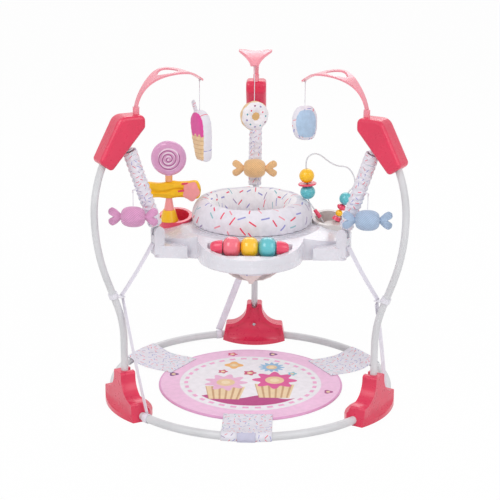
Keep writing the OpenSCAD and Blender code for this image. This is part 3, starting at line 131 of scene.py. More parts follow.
# Seat: the cushion's middle radius, half width, foot and height, and its piped seam
PAD_R, PAD_HALF, PAD_Z, PAD_H = 129.0, 34.6, 483.6, 61.4
SEAM_R, SEAM_Z, PIPING_R = 156.6, 486.2, 2.6
# Seat's bag, metres: height below which it is coloured a plain pale pink, height its drapes start from and
# the fall over which they grow, their depth, and the step of its mesh
SLING_BASE_Z, SLING_TOP_Z, SLING_FALL = 0.352, 0.475, 0.12
SLING_DRAPE, SLING_STEP = 0.0022, 0.0024

# Straps at a station: upper end, keeper, head of the lower strap, and its foot beside the station
STRAP_TOP, STRAP_KEEPER, LOWER_HEAD = (298.0, 0, 458.0), (389.1, 0, 327.2), (385.9, 0, 318.6)
LOWER_ASIDE, LOWER_Z = 108.0, 28.6
STRAP_SAG, LOWER_SAG, STRAP_HALF_T = -2.5, 2.0, 0.8

# Play mat and its tabs: radii, heights, half widths, and a tab's line of (radius, height) up to the ring
MAT_R, MAT_TOP = 254.0, 7.9
BINDING_R, BINDING_Z, BINDING_TUBE_R = 255.6, 4.6, 3.6
TAB_HALF, TAB_LOOP_R, TAB_T = 66.0, 13.0, 1.2
TAB_LEAD = (
    (228, 9.6), (236, 9.7), (246, 9.7), (256, 9.6), (264, 9.2), (280, 8.2),
    (300, 8.0), (322, 9.2), (344, 13.0), (362, 19.5), (372, 24.0),
)
PATCH_HALF, PATCH_WALL = 24.0, (13.6, 14.6)

# Screw of a foot: its turned profile of radius and height, and its place at a station
SCREW_PROFILE = (
    (0, 1.0), (1.9, 1.0), (2.1, 2.3), (3.2, 2.5), (4.2, 2.1),
    (4.8, 1.2), (5.0, 0.2), (5.0, -1.5), (0, -1.5),
)
SCREW_AT = (RING_R - 26.2, 0, 52.0)

# Studio: places in metres, lens, sensor and floor in millimetres, roll in degrees, and lamps as place,
# watts and size; the last two are shares of full white
CAMERA_EYE, CAMERA_AIM = (0.0938, -3.6833, 1.5151), (-0.0046, 0.0001, 0.3985)
CAMERA_SENSOR, CAMERA_LENS, CAMERA_ROLL = 36.0, 100.8, 0.48
LAMPS = {
    "key": ((-1.9, -2.6, 3.4), 64.0, 2.6),
    "fill": ((2.6, -2.2, 2.4), 39.0, 2.8),
    "back": ((0.3, 2.8, 3.0), 36.0, 2.4),
}
LAMP_AIM = (0, 0, 0.45)
FLOOR_RINGS, FLOOR_Z = (0.0, 400.0, 900.0, 1800.0, 4000.0, 9000.0, 45000.0), -0.4
FLOOR_GLOW, SKY_LEVEL = 0.97, 0.56


def srgb(r, g, b):
    """Linear colour of an 8-bit screen colour."""
    c = np.array([r, g, b]) / 255
    return tuple(float(x) for x in np.where(c <= 0.04045, c / 12.92, ((c + 0.055) / 1.055) ** 2.4))


def tint_prop(label, words, r, g, b):
    return bpy.props.FloatVectorProperty(
        name=label, description=words, subtype="COLOR", size=3, min=0, max=1, default=srgb(r, g, b)
    )


def length_prop(label, words, metres):
    return bpy.props.FloatProperty(
        name=label, description=words, unit="LENGTH", min=0, default=metres, precision=4
    )


class JumperSizes(bpy.types.PropertyGroup):
    """Sizes of the cloth, print and trim."""

    pad_dash: length_prop("Seat dash", "Length of a dash of the seat cushion's print", 0.028)
    cloth_dash: length_prop("Small dash", "Length of a dash of the print on covers and tabs", 0.0125)
    thread: length_prop("Thread", "Distance between two threads of the woven cloth", 0.0011)
    gather: length_prop("Gathers", "Depth of the gathers in the spring covers", 0.0034)
    pucker: length_prop("Puckers", "Depth of the puckers beside the seams of the stuffed toys", 0.0012)
    mat_ripple: length_prop("Mat ripple", "Height of the soft ripples in the play mat", 0.0007)
    spiral_ridge: length_prop("Spiral ridge", "Radius of the ridge wound on the lollipop", 0.0013)
    strap_width: length_prop("Strap width", "Width of the straps", 0.020)


class JumperTints(bpy.types.PropertyGroup):
    """Colours of the mouldings, cloths and prints."""

    pink: tint_prop("Moulded pink", "Feet and elbows", 224, 46, 84)
    arm: tint_prop("Arm pink", "Mobile arms", 240, 152, 166)
    tube: tint_prop("Tube", "Painted tubes", 214, 214, 217)
    tray: tint_prop("Tray", "Tray mouldings", 227, 225, 233)
    cloth: tint_prop("Cloth", "Ground of the printed cloth", 234, 231, 240)
    # Paler ground of the seat cushion's inner faces: painted light that lifts the shade inside the seat
    lining: tint_prop("Lining", "Ground of the seat's inner lining", 254, 252, 255)
    red: tint_prop("Red", "Red dashes, beads, dish and wrapper ends", 236, 66, 100)
    rose: tint_prop("Rose", "Left roller", 240, 104, 124)
    lavender: tint_prop("Lavender", "Lavender dashes", 148, 148, 210)
    teal: tint_prop("Teal", "Teal beads and roller", 92, 192, 202)
    yellow: tint_prop("Yellow", "Cup, ribbon, bead and roller", 255, 198, 8)
    sweet_pink: tint_prop("Sweet pink", "Left sweet", 226, 160, 204)
    sweet_blue: tint_prop("Sweet blue", "Right sweet", 176, 198, 226)
    sweet_orange: tint_prop("Sweet orange", "Rear sweet", 252, 204, 146)
    candy: tint_prop("Lollipop", "Lollipop's disc", 226, 166, 208)
    candy_line: tint_prop("Lollipop line", "Dark line of the lollipop's spiral", 176, 84, 150)
    stem: tint_prop("Stem", "Lollipop's stem and the ribbon's patch", 250, 160, 160)
    tan: tint_prop("Tan", "Biscuit colour of the stuffed toys", 236, 202, 156)
    magenta: tint_prop("Magenta", "Deep pink of the cone toy", 226, 74, 160)
    mat: tint_prop("Mat border", "Border of the play mat", 248, 202, 232)
    # Grey colour of the bead dish is painted shade, standing for the shadow inside a white dish
    beige: tint_prop("Beige", "Bead dish", 214, 208, 205)


# Arrays and meshes


def turned(points, degrees):
    """Points turned about the upright axis through the origin."""
    c, s = math.cos(math.radians(degrees)), math.sin(math.radians(degrees))
    return np.asarray(points, float) @ np.array([[c, s, 0], [-s, c, 0], [0, 0, 1.0]])


def spun(r, t, z):
    """Points at radius r, angle t and height z."""
    return np.stack(np.broadcast_arrays(r * np.cos(t), r * np.sin(t), z), -1)


def on_spring(points, degrees):
    """Points of a frame whose Z runs along a spring from its hook, brought to that spring's station."""
    c, s = math.cos(SPRING_LEAN), math.sin(SPRING_LEAN)
    lean = np.array([[c, 0, -s], [0, 1.0, 0], [s, 0, c]])
    return turned(np.asarray(points, float) @ lean + [SPRING_B[0], 0, SPRING_B[1]], degrees)


def arc_uv(P, wrap_u, wrap_v):
    """Cloth coordinates in metres: the mean length along the rows and the greatest along the columns."""
    Q = np.concatenate([P, P[:1]], 0) if wrap_u else P
    Q = np.concatenate([Q, Q[:, :1]], 1) if wrap_v else Q
    du = np.linalg.norm(np.diff(Q, axis=0), axis=2).mean(1)
    dv = np.linalg.norm(np.diff(Q, axis=1), axis=2).max(0)
    u, v = (np.concatenate([[0.0], np.cumsum(d)]) for d in (du, dv))
    return np.stack(np.meshgrid(u, v, indexing="ij"), -1) * MM


def surface(name, P, mats, wrap_u=False, wrap_v=False, uv=None, face_mat=None):
    """Mesh of the grid of points P in millimetres: one quad between four neighbours, closed where it wraps,
    with its doubled points merged at poles and seams and its faces turned outwards."""
    P = np.asarray(P, float)
    rows, cols = P.shape[:2]
    a = np.arange(rows if wrap_u else rows - 1)[:, None]
    b = np.arange(cols if wrap_v else cols - 1)[None, :]
    a, b = np.broadcast_arrays(a, b)
    an, bn = (a + 1) % rows, (b + 1) % cols
    quads = np.stack([a * cols + b, an * cols + b, an * cols + bn, a * cols + bn], -1).reshape(-1, 4)
    mesh = bpy.data.meshes.new(name)
    mesh.from_pydata((P * MM).reshape(-1, 3).tolist(), [], quads.tolist())
    uv = arc_uv(P, wrap_u, wrap_v) if uv is None else uv
    corners = np.stack([uv[a, b], uv[a + 1, b], uv[a + 1, b + 1], uv[a, b + 1]], 2)
    layer = mesh.uv_layers.new(name="UVMap")
    layer.data.foreach_set("uv", corners.astype(np.float32).ravel())
    if face_mat is not None:
        picks = np.broadcast_to(face_mat, a.shape).astype(np.int32)
        mesh.polygons.foreach_set("material_index", picks.ravel())
    tool = bmesh.new()
    tool.from_mesh(mesh)
    bmesh.ops.remove_doubles(tool, verts=tool.verts, dist=1e-6)
    bmesh.ops.recalc_face_normals(tool, faces=tool.faces)
    tool.to_mesh(mesh)
    tool.free()
    mesh.polygons.foreach_set("use_smooth", np.ones(len(mesh.polygons), bool))
    for m in mats:
        mesh.materials.append(m)
    obj = bpy.data.objects.new(name, mesh)
    bpy.context.scene.collection.objects.link(obj)
    return obj


def lathe(profile, sides=64):
    """A profile of (radius, height) turned round the Z axis: the grid of points (r cos t, r sin t, z)."""
    r, z = np.asarray(profile, float).T[..., None]
    return spun(r, np.linspace(0, TURN, sides, endpoint=False), z)


def tube(path, r, sides=12, up=(0.0, 1.0, 0.0), loop=False):
    """A circle of radius r carried along a path, square to it and turned to the direction up; an open
    path is closed by a row of points on its line at each end."""
    p = np.asarray(path, float)
    t = np.roll(p, -1, 0) - np.roll(p, 1, 0) if loop else np.gradient(p, axis=0)
    t = t / np.linalg.norm(t, axis=1, keepdims=True)
    n = np.cross(t, up)
    n = n / np.linalg.norm(n, axis=1, keepdims=True)
    b = np.cross(n, t)
    w = np.linspace(0, TURN, sides, endpoint=False)
    ring = np.cos(w)[None, :, None] * n[:, None] + np.sin(w)[None, :, None] * b[:, None]
    P = p[:, None] + np.broadcast_to(r, (len(p),))[:, None, None] * ring
    if loop:
        return P
    ends = [np.repeat(p[k][None, None], sides, 1) for k in (0, -1)]
    return np.concatenate([ends[0], P, ends[1]], 0)


def rounded(points, n=96, soft=2.0):
    """A closed outline through corner points: n places at equal lengths, smoothed round the loop by a
    bell-shaped average whose width is soft millimetres."""
    p = np.asarray(points, float)
    q = np.concatenate([p, p[:1]], 0)
    run = np.concatenate([[0], np.cumsum(np.linalg.norm(np.diff(q, axis=0), axis=1))])
    s = np.linspace(0, run[-1], n, endpoint=False)
    line = np.stack([np.interp(s, run, q[:, k]) for k in (0, 1)], -1)
    reach = np.minimum(s, run[-1] - s)
    bell = np.exp(-0.5 * (reach / max(soft, 1e-3)) ** 2)
    bell = np.fft.fft(bell / bell.sum())
    return np.real(np.fft.ifft(np.fft.fft(line, axis=0) * bell[:, None], axis=0))


def pillow(outline, thick, rings=16, power=(2.4, 0.62), pucker=0.0, count=23, centre=None):
    """A stuffed shape: copies of a closed outline shrunk by s towards its centre and lifted to both sides
    by half the thickness times (1 - s^a)^b, with waves of depth pucker that fade away from the seam."""
    o = np.asarray(outline, float)
    c = o.mean(0) if centre is None else np.asarray(centre, float)
    s = np.sin(np.linspace(0, math.pi / 2, rings))
    s = np.concatenate([s, s[-2::-1]])
    side = np.concatenate([np.ones(rings), -np.ones(rings - 1)])
    lift = thick / 2 * (1 - np.minimum(s, 1) ** power[0]) ** power[1] * side
    t = np.linspace(0, TURN, len(o), endpoint=False)
    wave = pucker * np.sin(count * t + 1.7 * np.sin(3 * t))
    fade = s**5 * (1 - s**30) * side
    x = c[0] + s[:, None] * (o[:, 0] - c[0])
    z = c[1] + s[:, None] * (o[:, 1] - c[1])
    return np.stack([x, lift[:, None] + fade[:, None] * wave[None], z], -1)


def flat_uv(P, axes=(0, 2)):
    """Cloth coordinates of a closed shape laid flat: two of its own axes, width and height unless told."""
    return np.concatenate([P, P[:, :1]], 1)[..., list(axes)] * MM


def noise_wave(x, y, seed=0.0):
    """Smooth uneven wave from -1 to 1: a sum of sines of unlike lengths and directions."""
    return (
        np.sin(1.0 * x + 0.7 * y + seed) + np.sin(-0.63 * x + 1.31 * y + 2.1 * seed + 1.0)
        + 0.6 * np.sin(1.9 * x - 1.1 * y + 0.7 * seed + 2.0) + 0.5 * np.sin(2.7 * x + 2.3 * y + 1.3 * seed)
    ) / 3.1


# Shader nodes


class Web:
    """Short calls that add nodes to one shader tree and hand back their outputs."""

    def __init__(self, tree):
        self.tree = tree

    def feed(self, socket, value):
        if isinstance(value, bpy.types.NodeSocket):
            self.tree.links.new(value, socket)
        elif socket.type == "RGBA":
            socket.default_value = (*value[:3], 1.0)
        else:
            socket.default_value = value

    def add(self, kind, settings=(), **sockets):
        node = self.tree.nodes.new("ShaderNode" + kind)
        for key, value in dict(settings).items():
            setattr(node, key, value)
        self.dress(node, **sockets)
        return node

    def dress(self, node, **sockets):
        """Feeds the named sockets of a node; an underscore stands for a space."""
        for key, value in sockets.items():
            self.feed(node.inputs[key.replace("_", " ")], value)

    def calc(self, operation, *values):
        node = self.add("Math", {"operation": operation})
        for socket, value in zip(node.inputs, values):
            self.feed(socket, value)
        return node.outputs[0]

    def times(self, a, b):
        return self.calc("MULTIPLY", a, b)

    def plus(self, a, b):
        return self.calc("ADD", a, b)

    def minus(self, a, b):
        return self.calc("SUBTRACT", a, b)

    def apart(self, a, b):
        return self.calc("ABSOLUTE", self.minus(a, b))

    def wave(self, value, rate):
        return self.calc("SINE", self.times(value, rate))

    def vec(self, operation, *values):
        node = self.add("VectorMath", {"operation": operation})
        for socket, value in zip(node.inputs, values):
            self.feed(socket, value)
        return node.outputs["Value" if operation in ("LENGTH", "DOT_PRODUCT", "DISTANCE") else "Vector"]

    def shade(self, colour, level):
        return self.vec("MULTIPLY", colour, self.join(level, level, level))

    def mix(self, share, a, b):
        node = self.add("Mix", {"data_type": "RGBA"})
        for k, value in ((0, share), (6, a), (7, b)):
            self.feed(node.inputs[k], value)
        return node.outputs[2]

    def split(self, vector):
        return self.add("SeparateXYZ", Vector=vector).outputs

    def join(self, x, y, z=0.0):
        return self.add("CombineXYZ", X=x, Y=y, Z=z).outputs[0]

    def noise(self, vector, scale, detail=2.0, rough=0.5):
        return self.add("TexNoise", Vector=vector, Scale=scale, Detail=detail, Roughness=rough).outputs[0]

    def span(self, value, low, high, to_low=0.0, to_high=1.0, smooth=True):
        node = self.add("MapRange", {"interpolation_type": "SMOOTHSTEP" if smooth else "LINEAR"})
        for k, v in enumerate((value, low, high, to_low, to_high)):
            self.feed(node.inputs[k], v)
        return node.outputs[0]

    def inside(self, value, edge, soft):
        """1 where value is below the edge, fading over soft."""
        return self.span(value, self.minus(edge, soft), self.plus(edge, soft), 1.0, 0.0)

    def seen(self):
        """1 on rays that come from the camera, a mirror image or a view through glass."""
        path = self.add("LightPath").outputs
        near = self.calc("MAXIMUM", path["Is Camera Ray"], path["Is Glossy Ray"])
        return self.calc("MAXIMUM", near, path["Is Transmission Ray"])

    def steps(self, value, stops):
        node = self.add("ValToRGB", Fac=value)
        node.color_ramp.interpolation = "CONSTANT"
        while len(node.color_ramp.elements) < len(stops):
            node.color_ramp.elements.new(1.0)
        for element, (place, colour) in zip(node.color_ramp.elements, stops):
            element.position = place
            element.color = (*colour, 1.0)
        return node.outputs[0]


def effect(name, inputs, outputs):
    """Turns a function that builds nodes into one that makes the named shader group once, then finds it;
    the sockets are given with v for a vector, c for a colour and f for a number."""
    kinds = {"f": "NodeSocketFloat", "v": "NodeSocketVector", "c": "NodeSocketColor"}

    def wrap(build):
        def make(*args):
            if name in bpy.data.node_groups:
                return bpy.data.node_groups[name]
            tree = bpy.data.node_groups.new(name, "ShaderNodeTree")
            for way, sockets in (("INPUT", inputs), ("OUTPUT", outputs)):
                for label, kind in sockets.items():
                    tree.interface.new_socket(name=label, in_out=way, socket_type=kinds[kind])
            web = Web(tree)
            given = tree.nodes.new("NodeGroupInput").outputs
            web.dress(tree.nodes.new("NodeGroupOutput"), **build(web, given, *args))
            return tree

        return make

    return wrap


@effect(
    "Moulded skin", {"Vector": "v", "Colour": "c", "Rough": "f"},
    {"Colour": "c", "Roughness": "f", "Height": "f"},
)
def moulded_skin(web, given):
    """Moulded surface: cloudy tone of the colour, rubbed patches in the gloss and a fine grain."""
    cloud = web.noise(given["Vector"], 14.0, 3.0)
    rub = web.noise(given["Vector"], 55.0, 4.0, 0.65)
    grain = web.noise(given["Vector"], 1500.0, 1.0)
    tone = web.shade(given["Colour"], web.span(cloud, 0.3, 0.7, 0.95, 1.03))
    rough = web.times(given["Rough"], web.span(rub, 0.3, 0.75, 0.85, 1.3))
    return {"Colour": tone, "Roughness": rough, "Height": grain}


@effect("Woven threads", {"Vector": "v", "Colour": "c", "Thread": "f"}, {"Colour": "c", "Height": "f"})
def woven_threads(web, given):
    """Plain weave: the product of two sine rows gives the threads, and a soft noise the uneven tone; the
    colour is also darkened a little where the weave is low, a painted shade between the threads.
    """
    x, y, _ = web.split(given["Vector"])
    rate = web.calc("DIVIDE", math.pi, given["Thread"])
    weave = web.calc("MULTIPLY_ADD", web.times(web.wave(x, rate), web.wave(y, rate)), 0.5, 0.5)
    slub = web.noise(given["Vector"], 60.0, 3.0)
    tone = web.shade(given["Colour"], web.span(slub, 0.25, 0.75, 0.94, 1.03))
    # Darker where the weave is low: painted shade between the threads
    return {"Colour": web.shade(tone, web.span(weave, 0.0, 1.0, 0.95, 1.0)), "Height": weave}


@effect("Plush pile", {"Vector": "v", "Colour": "c"}, {"Colour": "c", "Height": "f"})
def plush_pile(web, given):
    """Short pile: fine tufts in the height and a brushed, cloudy tone in the colour; the tufts also darken
    the colour where they are low, a painted shade between them.
    """
    tuft = web.noise(given["Vector"], 700.0, 3.0, 0.7)
    nap = web.noise(given["Vector"], 70.0, 3.0, 0.6)
    # The tuft term darkens low tufts: painted shade between them; the nap term is a cloudy tone
    level = web.times(web.span(nap, 0.25, 0.75, 0.92, 1.05), web.span(tuft, 0.2, 0.8, 0.93, 1.04))
    return {"Colour": web.shade(given["Colour"], level), "Height": tuft}


@effect("Dash print", {"Vector": "v", "Ground": "c", "Dash": "f"}, {"Colour": "c", "Ink": "f"})
def dash_print(web, given, tints):
    """Scattered dashes: each cell of a loose tiling has one rounded stroke, turned by the cell's own
    chance, in red, lavender, teal or soft pink, and some cells stay bare."""
    x, y, _ = web.split(given["Vector"])
    flat = web.join(x, y)
    rate = web.calc("DIVIDE", 0.9, given["Dash"])
    plan = {"voronoi_dimensions": "2D", "feature": "F1"}
    cells = web.add("TexVoronoi", plan, Vector=flat, Scale=rate, Randomness=0.72).outputs
    chance = web.split(cells["Color"])
    away = web.vec("SUBTRACT", flat, cells["Position"])
    angle = web.times(chance[0], TURN)
    spin = web.add("VectorRotate", {"rotation_type": "Z_AXIS"}, Vector=away, Angle=angle).outputs[0]
    u, v, _ = web.split(spin)
    reach = web.times(given["Dash"], web.span(chance[1], 0.0, 1.0, 0.26, 0.42, False))
    over = web.calc("MAXIMUM", web.minus(web.calc("ABSOLUTE", u), reach), 0.0)
    away = web.vec("LENGTH", web.join(over, v))
    thin = web.times(given["Dash"], 0.072)
    mark = web.inside(away, thin, web.times(thin, 0.25))
    mark = web.times(mark, web.calc("LESS_THAN", chance[1], 0.86))
    ink = web.steps(chance[2], [
        (0.0, tints.red), (0.3, tints.lavender), (0.66, srgb(150, 196, 204)), (0.78, tints.arm),
        (0.88, srgb(168, 150, 186)),
    ])
    return {"Colour": web.mix(mark, given["Ground"], ink), "Ink": mark}


def material(build):
    """Turns a function that fills a shader into one that makes the named material once, then finds it."""

    def make(name, *args, **options):
        if name in bpy.data.materials:
            return bpy.data.materials[name]
        mat = bpy.data.materials.new(name)
        mat.use_nodes = True
        shader = next(n for n in mat.node_tree.nodes if n.type == "BSDF_PRINCIPLED")
        build(Web(mat.node_tree), shader, *args, **options)
        return mat

    return make


def bumped(web, height, strength, depth, edge=0.0):
    """Normal of a fine relief, with the edges of the surface rounded by a radius where one is given."""
    bump = web.add("Bump", Strength=strength, Distance=depth, Height=height)
    if edge:
        web.feed(bump.inputs["Normal"], web.add("Bevel", {"samples": 8}, Radius=edge).outputs[0])
    return bump.outputs[0]


def place_group(web, tree, **sockets):
    node = web.tree.nodes.new("ShaderNodeGroup")
    node.node_tree = tree
    web.dress(node, **sockets)
    return node.outputs


@material
def plastic(web, bsdf, colour, rough=0.28, coat=0.25, subsurface=0.0, colour_of=None, edge=0.0012):
    """Moulded plastic: the shared skin on Object coordinates, a thin clear coat and a little depth."""
    where = web.add("TexCoord").outputs["Object"]
    base = colour if colour_of is None else colour_of(web, where)
    skin = place_group(web, moulded_skin(), Vector=where, Colour=base, Rough=rough)
    relief = bumped(web, skin["Height"], 0.05, 0.0002, edge)
    web.dress(bsdf, Base_Color=skin["Colour"], Roughness=skin["Roughness"], Normal=relief)
    web.dress(bsdf, Coat_Weight=coat, Coat_Roughness=0.12)
    if subsurface:
        depth = (0.006, 0.004, 0.004)
        web.dress(bsdf, Subsurface_Weight=subsurface, Subsurface_Radius=depth, Subsurface_Scale=1.0)


@material
def woven(web, bsdf, colour, thread, sheen=0.25, rough=0.85, colour_of=None):
    """Woven cloth on the piece's own UV map, in metres, with an optional print as its colour."""
    where = web.add("UVMap", {"uv_map": "UVMap"}).outputs[0]
    base = colour if colour_of is None else colour_of(web, where)
    threads = place_group(web, woven_threads(), Vector=where, Colour=base, Thread=thread)
    relief = bumped(web, threads["Height"], 0.35, 0.0003)
    web.dress(bsdf, Base_Color=threads["Colour"], Normal=relief, Roughness=rough)
    web.dress(bsdf, Sheen_Weight=sheen, Sheen_Roughness=0.45)


@material
def plush(web, bsdf, colour, colour_of=None):
    """Short-pile plush on Object coordinates, with a pattern on the UV map where one is given."""
    where = web.add("TexCoord").outputs["Object"]
    cloth = web.add("UVMap", {"uv_map": "UVMap"}).outputs[0]
    base = colour if colour_of is None else colour_of(web, cloth)
    pile = place_group(web, plush_pile(), Vector=where, Colour=base)
    relief = bumped(web, pile["Height"], 0.5, 0.0009)
    web.dress(bsdf, Base_Color=pile["Colour"], Normal=relief, Roughness=0.92)
    web.dress(bsdf, Sheen_Weight=0.45, Sheen_Roughness=0.5)


@material
def metal(web, bsdf, colour, rough, metallic=1.0):
    """Bare or painted metal: cloudy tone and rubbed gloss from the shared skin."""
    where = web.add("TexCoord").outputs["Object"]
    skin = place_group(web, moulded_skin(), Vector=where, Colour=colour, Rough=rough)
    relief = bumped(web, skin["Height"], 0.08, 0.0002)
    web.dress(bsdf, Base_Color=skin["Colour"], Roughness=skin["Roughness"], Normal=relief)
    web.dress(bsdf, Metallic=metallic)


@material
def studio_floor(web, bsdf):
    """Pale specked floor that shows as a white ground to the camera and takes soft shadows."""
    where = web.add("TexCoord").outputs["Object"]
    tone = web.span(web.noise(where, 40.0, 3.0), 0.3, 0.7, 0.88, 0.9)
    web.dress(bsdf, Base_Color=web.join(tone, tone, tone), Roughness=0.9, Specular_IOR_Level=0.1)
    glow = web.add("Emission", Color=(1, 1, 1), Strength=1.0).outputs[0]
    both = web.add("MixShader", Fac=web.times(web.seen(), FLOOR_GLOW))
    web.feed(both.inputs[1], bsdf.outputs[0])
    web.feed(both.inputs[2], glow)
    out = next(n for n in web.tree.nodes if n.type == "OUTPUT_MATERIAL")
    web.feed(out.inputs[0], both.outputs[0])


def printed_cloth(sizes, tints, kind="small"):
    """The white cloth with scattered dashes: small, in the seat's larger scale, or in that larger scale on
    a paler ground that is painted light for the seat's inner faces.
    """
    dash = sizes.cloth_dash if kind == "small" else sizes.pad_dash
    ground = tints.lining if kind == "lining" else tints.cloth

    def colour_of(web, where):
        return place_group(web, dash_print(tints), Vector=where, Ground=ground, Dash=dash)["Colour"]

    return woven(f"Dash cloth {kind}", ground, sizes.thread, colour_of=colour_of)


def dress_nodes(material, *names):
    """Gives CAD nodes a material in place of their plain one."""
    for name in names:
        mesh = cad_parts[name].data
        mesh.materials.clear()
        mesh.materials.append(material)


def settle(obj, body, slot, *nodes):
    """A finished piece rides on its body and stands for CAD nodes; the slot is not used."""
    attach(obj, body)
    if nodes:
        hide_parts(*nodes)
    return obj


def sizes_of(context):
    return context.scene.jumper_sizes, context.scene.jumper_tints


def metres(point):
    return tuple(float(x) * MM for x in point)


# Operators: the studio first, then the cords, then piece by piece


class JUMPER_OT_stage(bpy.types.Operator):
    """Camera at the photograph's angle, pale floor and soft lamps"""

    bl_idname = "jumper.stage"
    bl_label = "Studio"

    def execute(self, context):
        scene = context.scene
        scene.view_settings.view_transform = "Standard"
        eye, aim = Vector(CAMERA_EYE), Vector(CAMERA_AIM)
        cam = bpy.data.objects.new("camera", bpy.data.cameras.new("camera"))
        cam.data.sensor_width, cam.data.lens = CAMERA_SENSOR, CAMERA_LENS
        cam.data.clip_end = 50.0
        look = (aim - eye).to_track_quat("-Z", "Y").to_matrix()
        roll = Matrix.Rotation(math.radians(CAMERA_ROLL), 3, "Z")
        cam.matrix_world = Matrix.Translation(eye) @ (look @ roll).to_4x4()
        scene.collection.objects.link(cam)
        scene.camera = cam
        self.floor()
        self.world(scene)
        for name, (place, power, size) in LAMPS.items():
            lamp = bpy.data.lights.new(name, "AREA")
            lamp.energy, lamp.size = power, size
            obj = bpy.data.objects.new(name, lamp)
            obj.location = place
            obj.rotation_euler = (Vector(LAMP_AIM) - Vector(place)).to_track_quat("-Z", "Y").to_euler()
            scene.collection.objects.link(obj)
        return {"FINISHED"}

    def floor(self):
        """A round floor: rings of growing radius joined to a disc, flat just under the height of zero."""
        ring = np.array([[r, FLOOR_Z] for r in FLOOR_RINGS])
        surface("floor", lathe(ring, 48), [studio_floor("Studio floor")], wrap_v=True)

    def world(self, scene):
        """An even white sky, dimmer for the light it throws than for the camera."""
        world = bpy.data.worlds.new("studio")
        world.use_nodes = True
        scene.world = world
        web = Web(world.node_tree)
        back = next(n for n in world.node_tree.nodes if n.type == "BACKGROUND")
        web.dress(back, Color=(1, 1, 1), Strength=web.span(web.seen(), 0.0, 1.0, SKY_LEVEL, 1.0, False))


class JUMPER_OT_cords(bpy.types.Operator):
    """Cords of the hanging toys and sweets, with a knot at each upper end"""

    bl_idname = "jumper.cords"
    bl_label = "Cords"

    def execute(self, context):
        mat = woven("Cord yarn", srgb(244, 242, 246), 0.0006, 0.3, colour_of=self.lay)
        for side, angle in STATIONS.items():
            top = turned([[TOY_PIVOT[0], 0, TOY_PIVOT[1]]], angle)[0]
            self.hang(f"{TOY_BODY[side][:-4]}_cord", top, TOY_CORD[side], TOY_BODY[side], mat)
            self.hang(f"candy_cord_{side}", np.array(SWEET_PIVOT[side]), SWEET_CORD, f"candy_{side}", mat)
        return {"FINISHED"}

    @staticmethod
    def lay(web, where):
        """Two-ply twist: a slanted sine over the cord's length and girth, darker in the grooves between the
        plies, a painted shade.
        """
        x, y, _ = web.split(where)
        twist = web.wave(web.plus(x, y), 2200.0)
        # Dark bands of the twist are painted shade in the grooves between the plies
        return web.mix(web.span(twist, -1, 1), srgb(214, 210, 220), srgb(248, 246, 250))

    def hang(self, name, top, length, body, mat):
        """A round cord straight down from the knot, and a knot as a turned bead with a waist."""
        z = np.linspace(0, -length, 24)
        path = np.stack([top[0] + 0 * z, top[1] + 0 * z, top[2] + z], -1)
        cord = surface(name + "_line", tube(path, CORD_D / 2, 10), [mat], wrap_v=True)
        a = np.linspace(-math.pi / 2, math.pi / 2, 13)
        waist = 1 - 0.14 * np.cos(4 * a)
        bead = KNOT_D / 2 * np.stack([np.cos(a) * waist, np.sin(a)], -1)
        knot = surface(name + "_knot", lathe(bead, 16) + top, [mat], wrap_v=True)
        settle(cord, body, "cord", name)
        settle(knot, body, "cord")
        metres(top)
        [metres(p) for p in path]


class JUMPER_OT_frame(bpy.types.Operator):
    """Tubes, feet, elbows, arms, snap buttons and the screws of the feet"""

    bl_idname = "jumper.frame"
    bl_label = "Frame"

    def execute(self, context):
        _, tints = sizes_of(context)
        pink = plastic("Moulded pink", tints.pink, 0.3, 0.2, edge=0.0)
        tube_paint = metal("Tube paint", tints.tube, 0.32, 0.0)
        dress_nodes(tube_paint, "base_tube_front", "base_tube_rear_left", "base_tube_rear_right")
        dress_nodes(tube_paint, *(f"leg_{s}" for s in STATIONS))
        dress_nodes(pink, *(f"foot_{s}" for s in STATIONS), *(f"elbow_{s}" for s in STATIONS))
        arm = plastic("Arm plastic", tints.arm, 0.3, 0.2, 0.2, edge=0.0)
        dress_nodes(arm, *(f"arm_{s}" for s in STATIONS))
        steel = metal("Bright steel", srgb(190, 190, 195), 0.25)
        dress_nodes(steel, "spring_pins", *(f"button_{s}" for s in STATIONS))
        dress_nodes(plastic("Keeper plastic", tints.tray, 0.35), "strap_keepers")
        for side, angle in STATIONS.items():
            self.screw(side, angle, steel)
        return {"FINISHED"}

    def screw(self, side, angle, mat):
        """A domed screw head with a sunk socket, turned round its axis and laid on the foot's panel."""
        P = lathe(SCREW_PROFILE, 24)[..., [2, 1, 0]] * [-1, 1, 1] + SCREW_AT
        settle(surface(f"foot_screw_{side}", turned(P, angle), [mat], wrap_v=True), "frame", "steel")


class JUMPER_OT_tray(bpy.types.Operator):
    """Tray mouldings, seat ring, roller toy, dishes and the bead toy's wire"""

    bl_idname = "jumper.tray"
    bl_label = "Tray and its fixed toys"

    def execute(self, context):
        _, tints = sizes_of(context)
        white = plastic("Tray plastic", tints.tray, 0.24, 0.3, 0.12, edge=0.001)
        dress_nodes(white, "tray_top", "tray_bottom", "seat_ring")
        dress_nodes(metal("Axle steel", srgb(190, 190, 195), 0.3), "roller_axle")
        dress_nodes(plastic("Rose roller", tints.rose, 0.14, 0.9), "roller_left")
        dress_nodes(plastic("Yellow roller", tints.yellow, 0.14, 0.9), "roller_middle")
        dress_nodes(plastic("Cup plastic", tints.yellow, 0.3, 0.2), "lolly_cup")
        dress_nodes(plastic("Teal roller", tints.teal, 0.14, 0.9), "roller_right")
        red = plastic("Red plastic", tints.red, 0.25, 0.4)
        dress_nodes(red, "wrapper_ends", "lolly_dish", "bead_bases")
        # Bead dish coloured grey: painted shade for the shadow inside a white dish
        dress_nodes(plastic("Beige plastic", tints.beige, 0.3, 0.3), "bead_dish")
        dress_nodes(plastic("Stem plastic", tints.stem, 0.28, 0.3), "lolly_stem")
        dress_nodes(metal("Wire paint", srgb(222, 222, 226), 0.3, 0.0), "bead_wire")
        return {"FINISHED"}


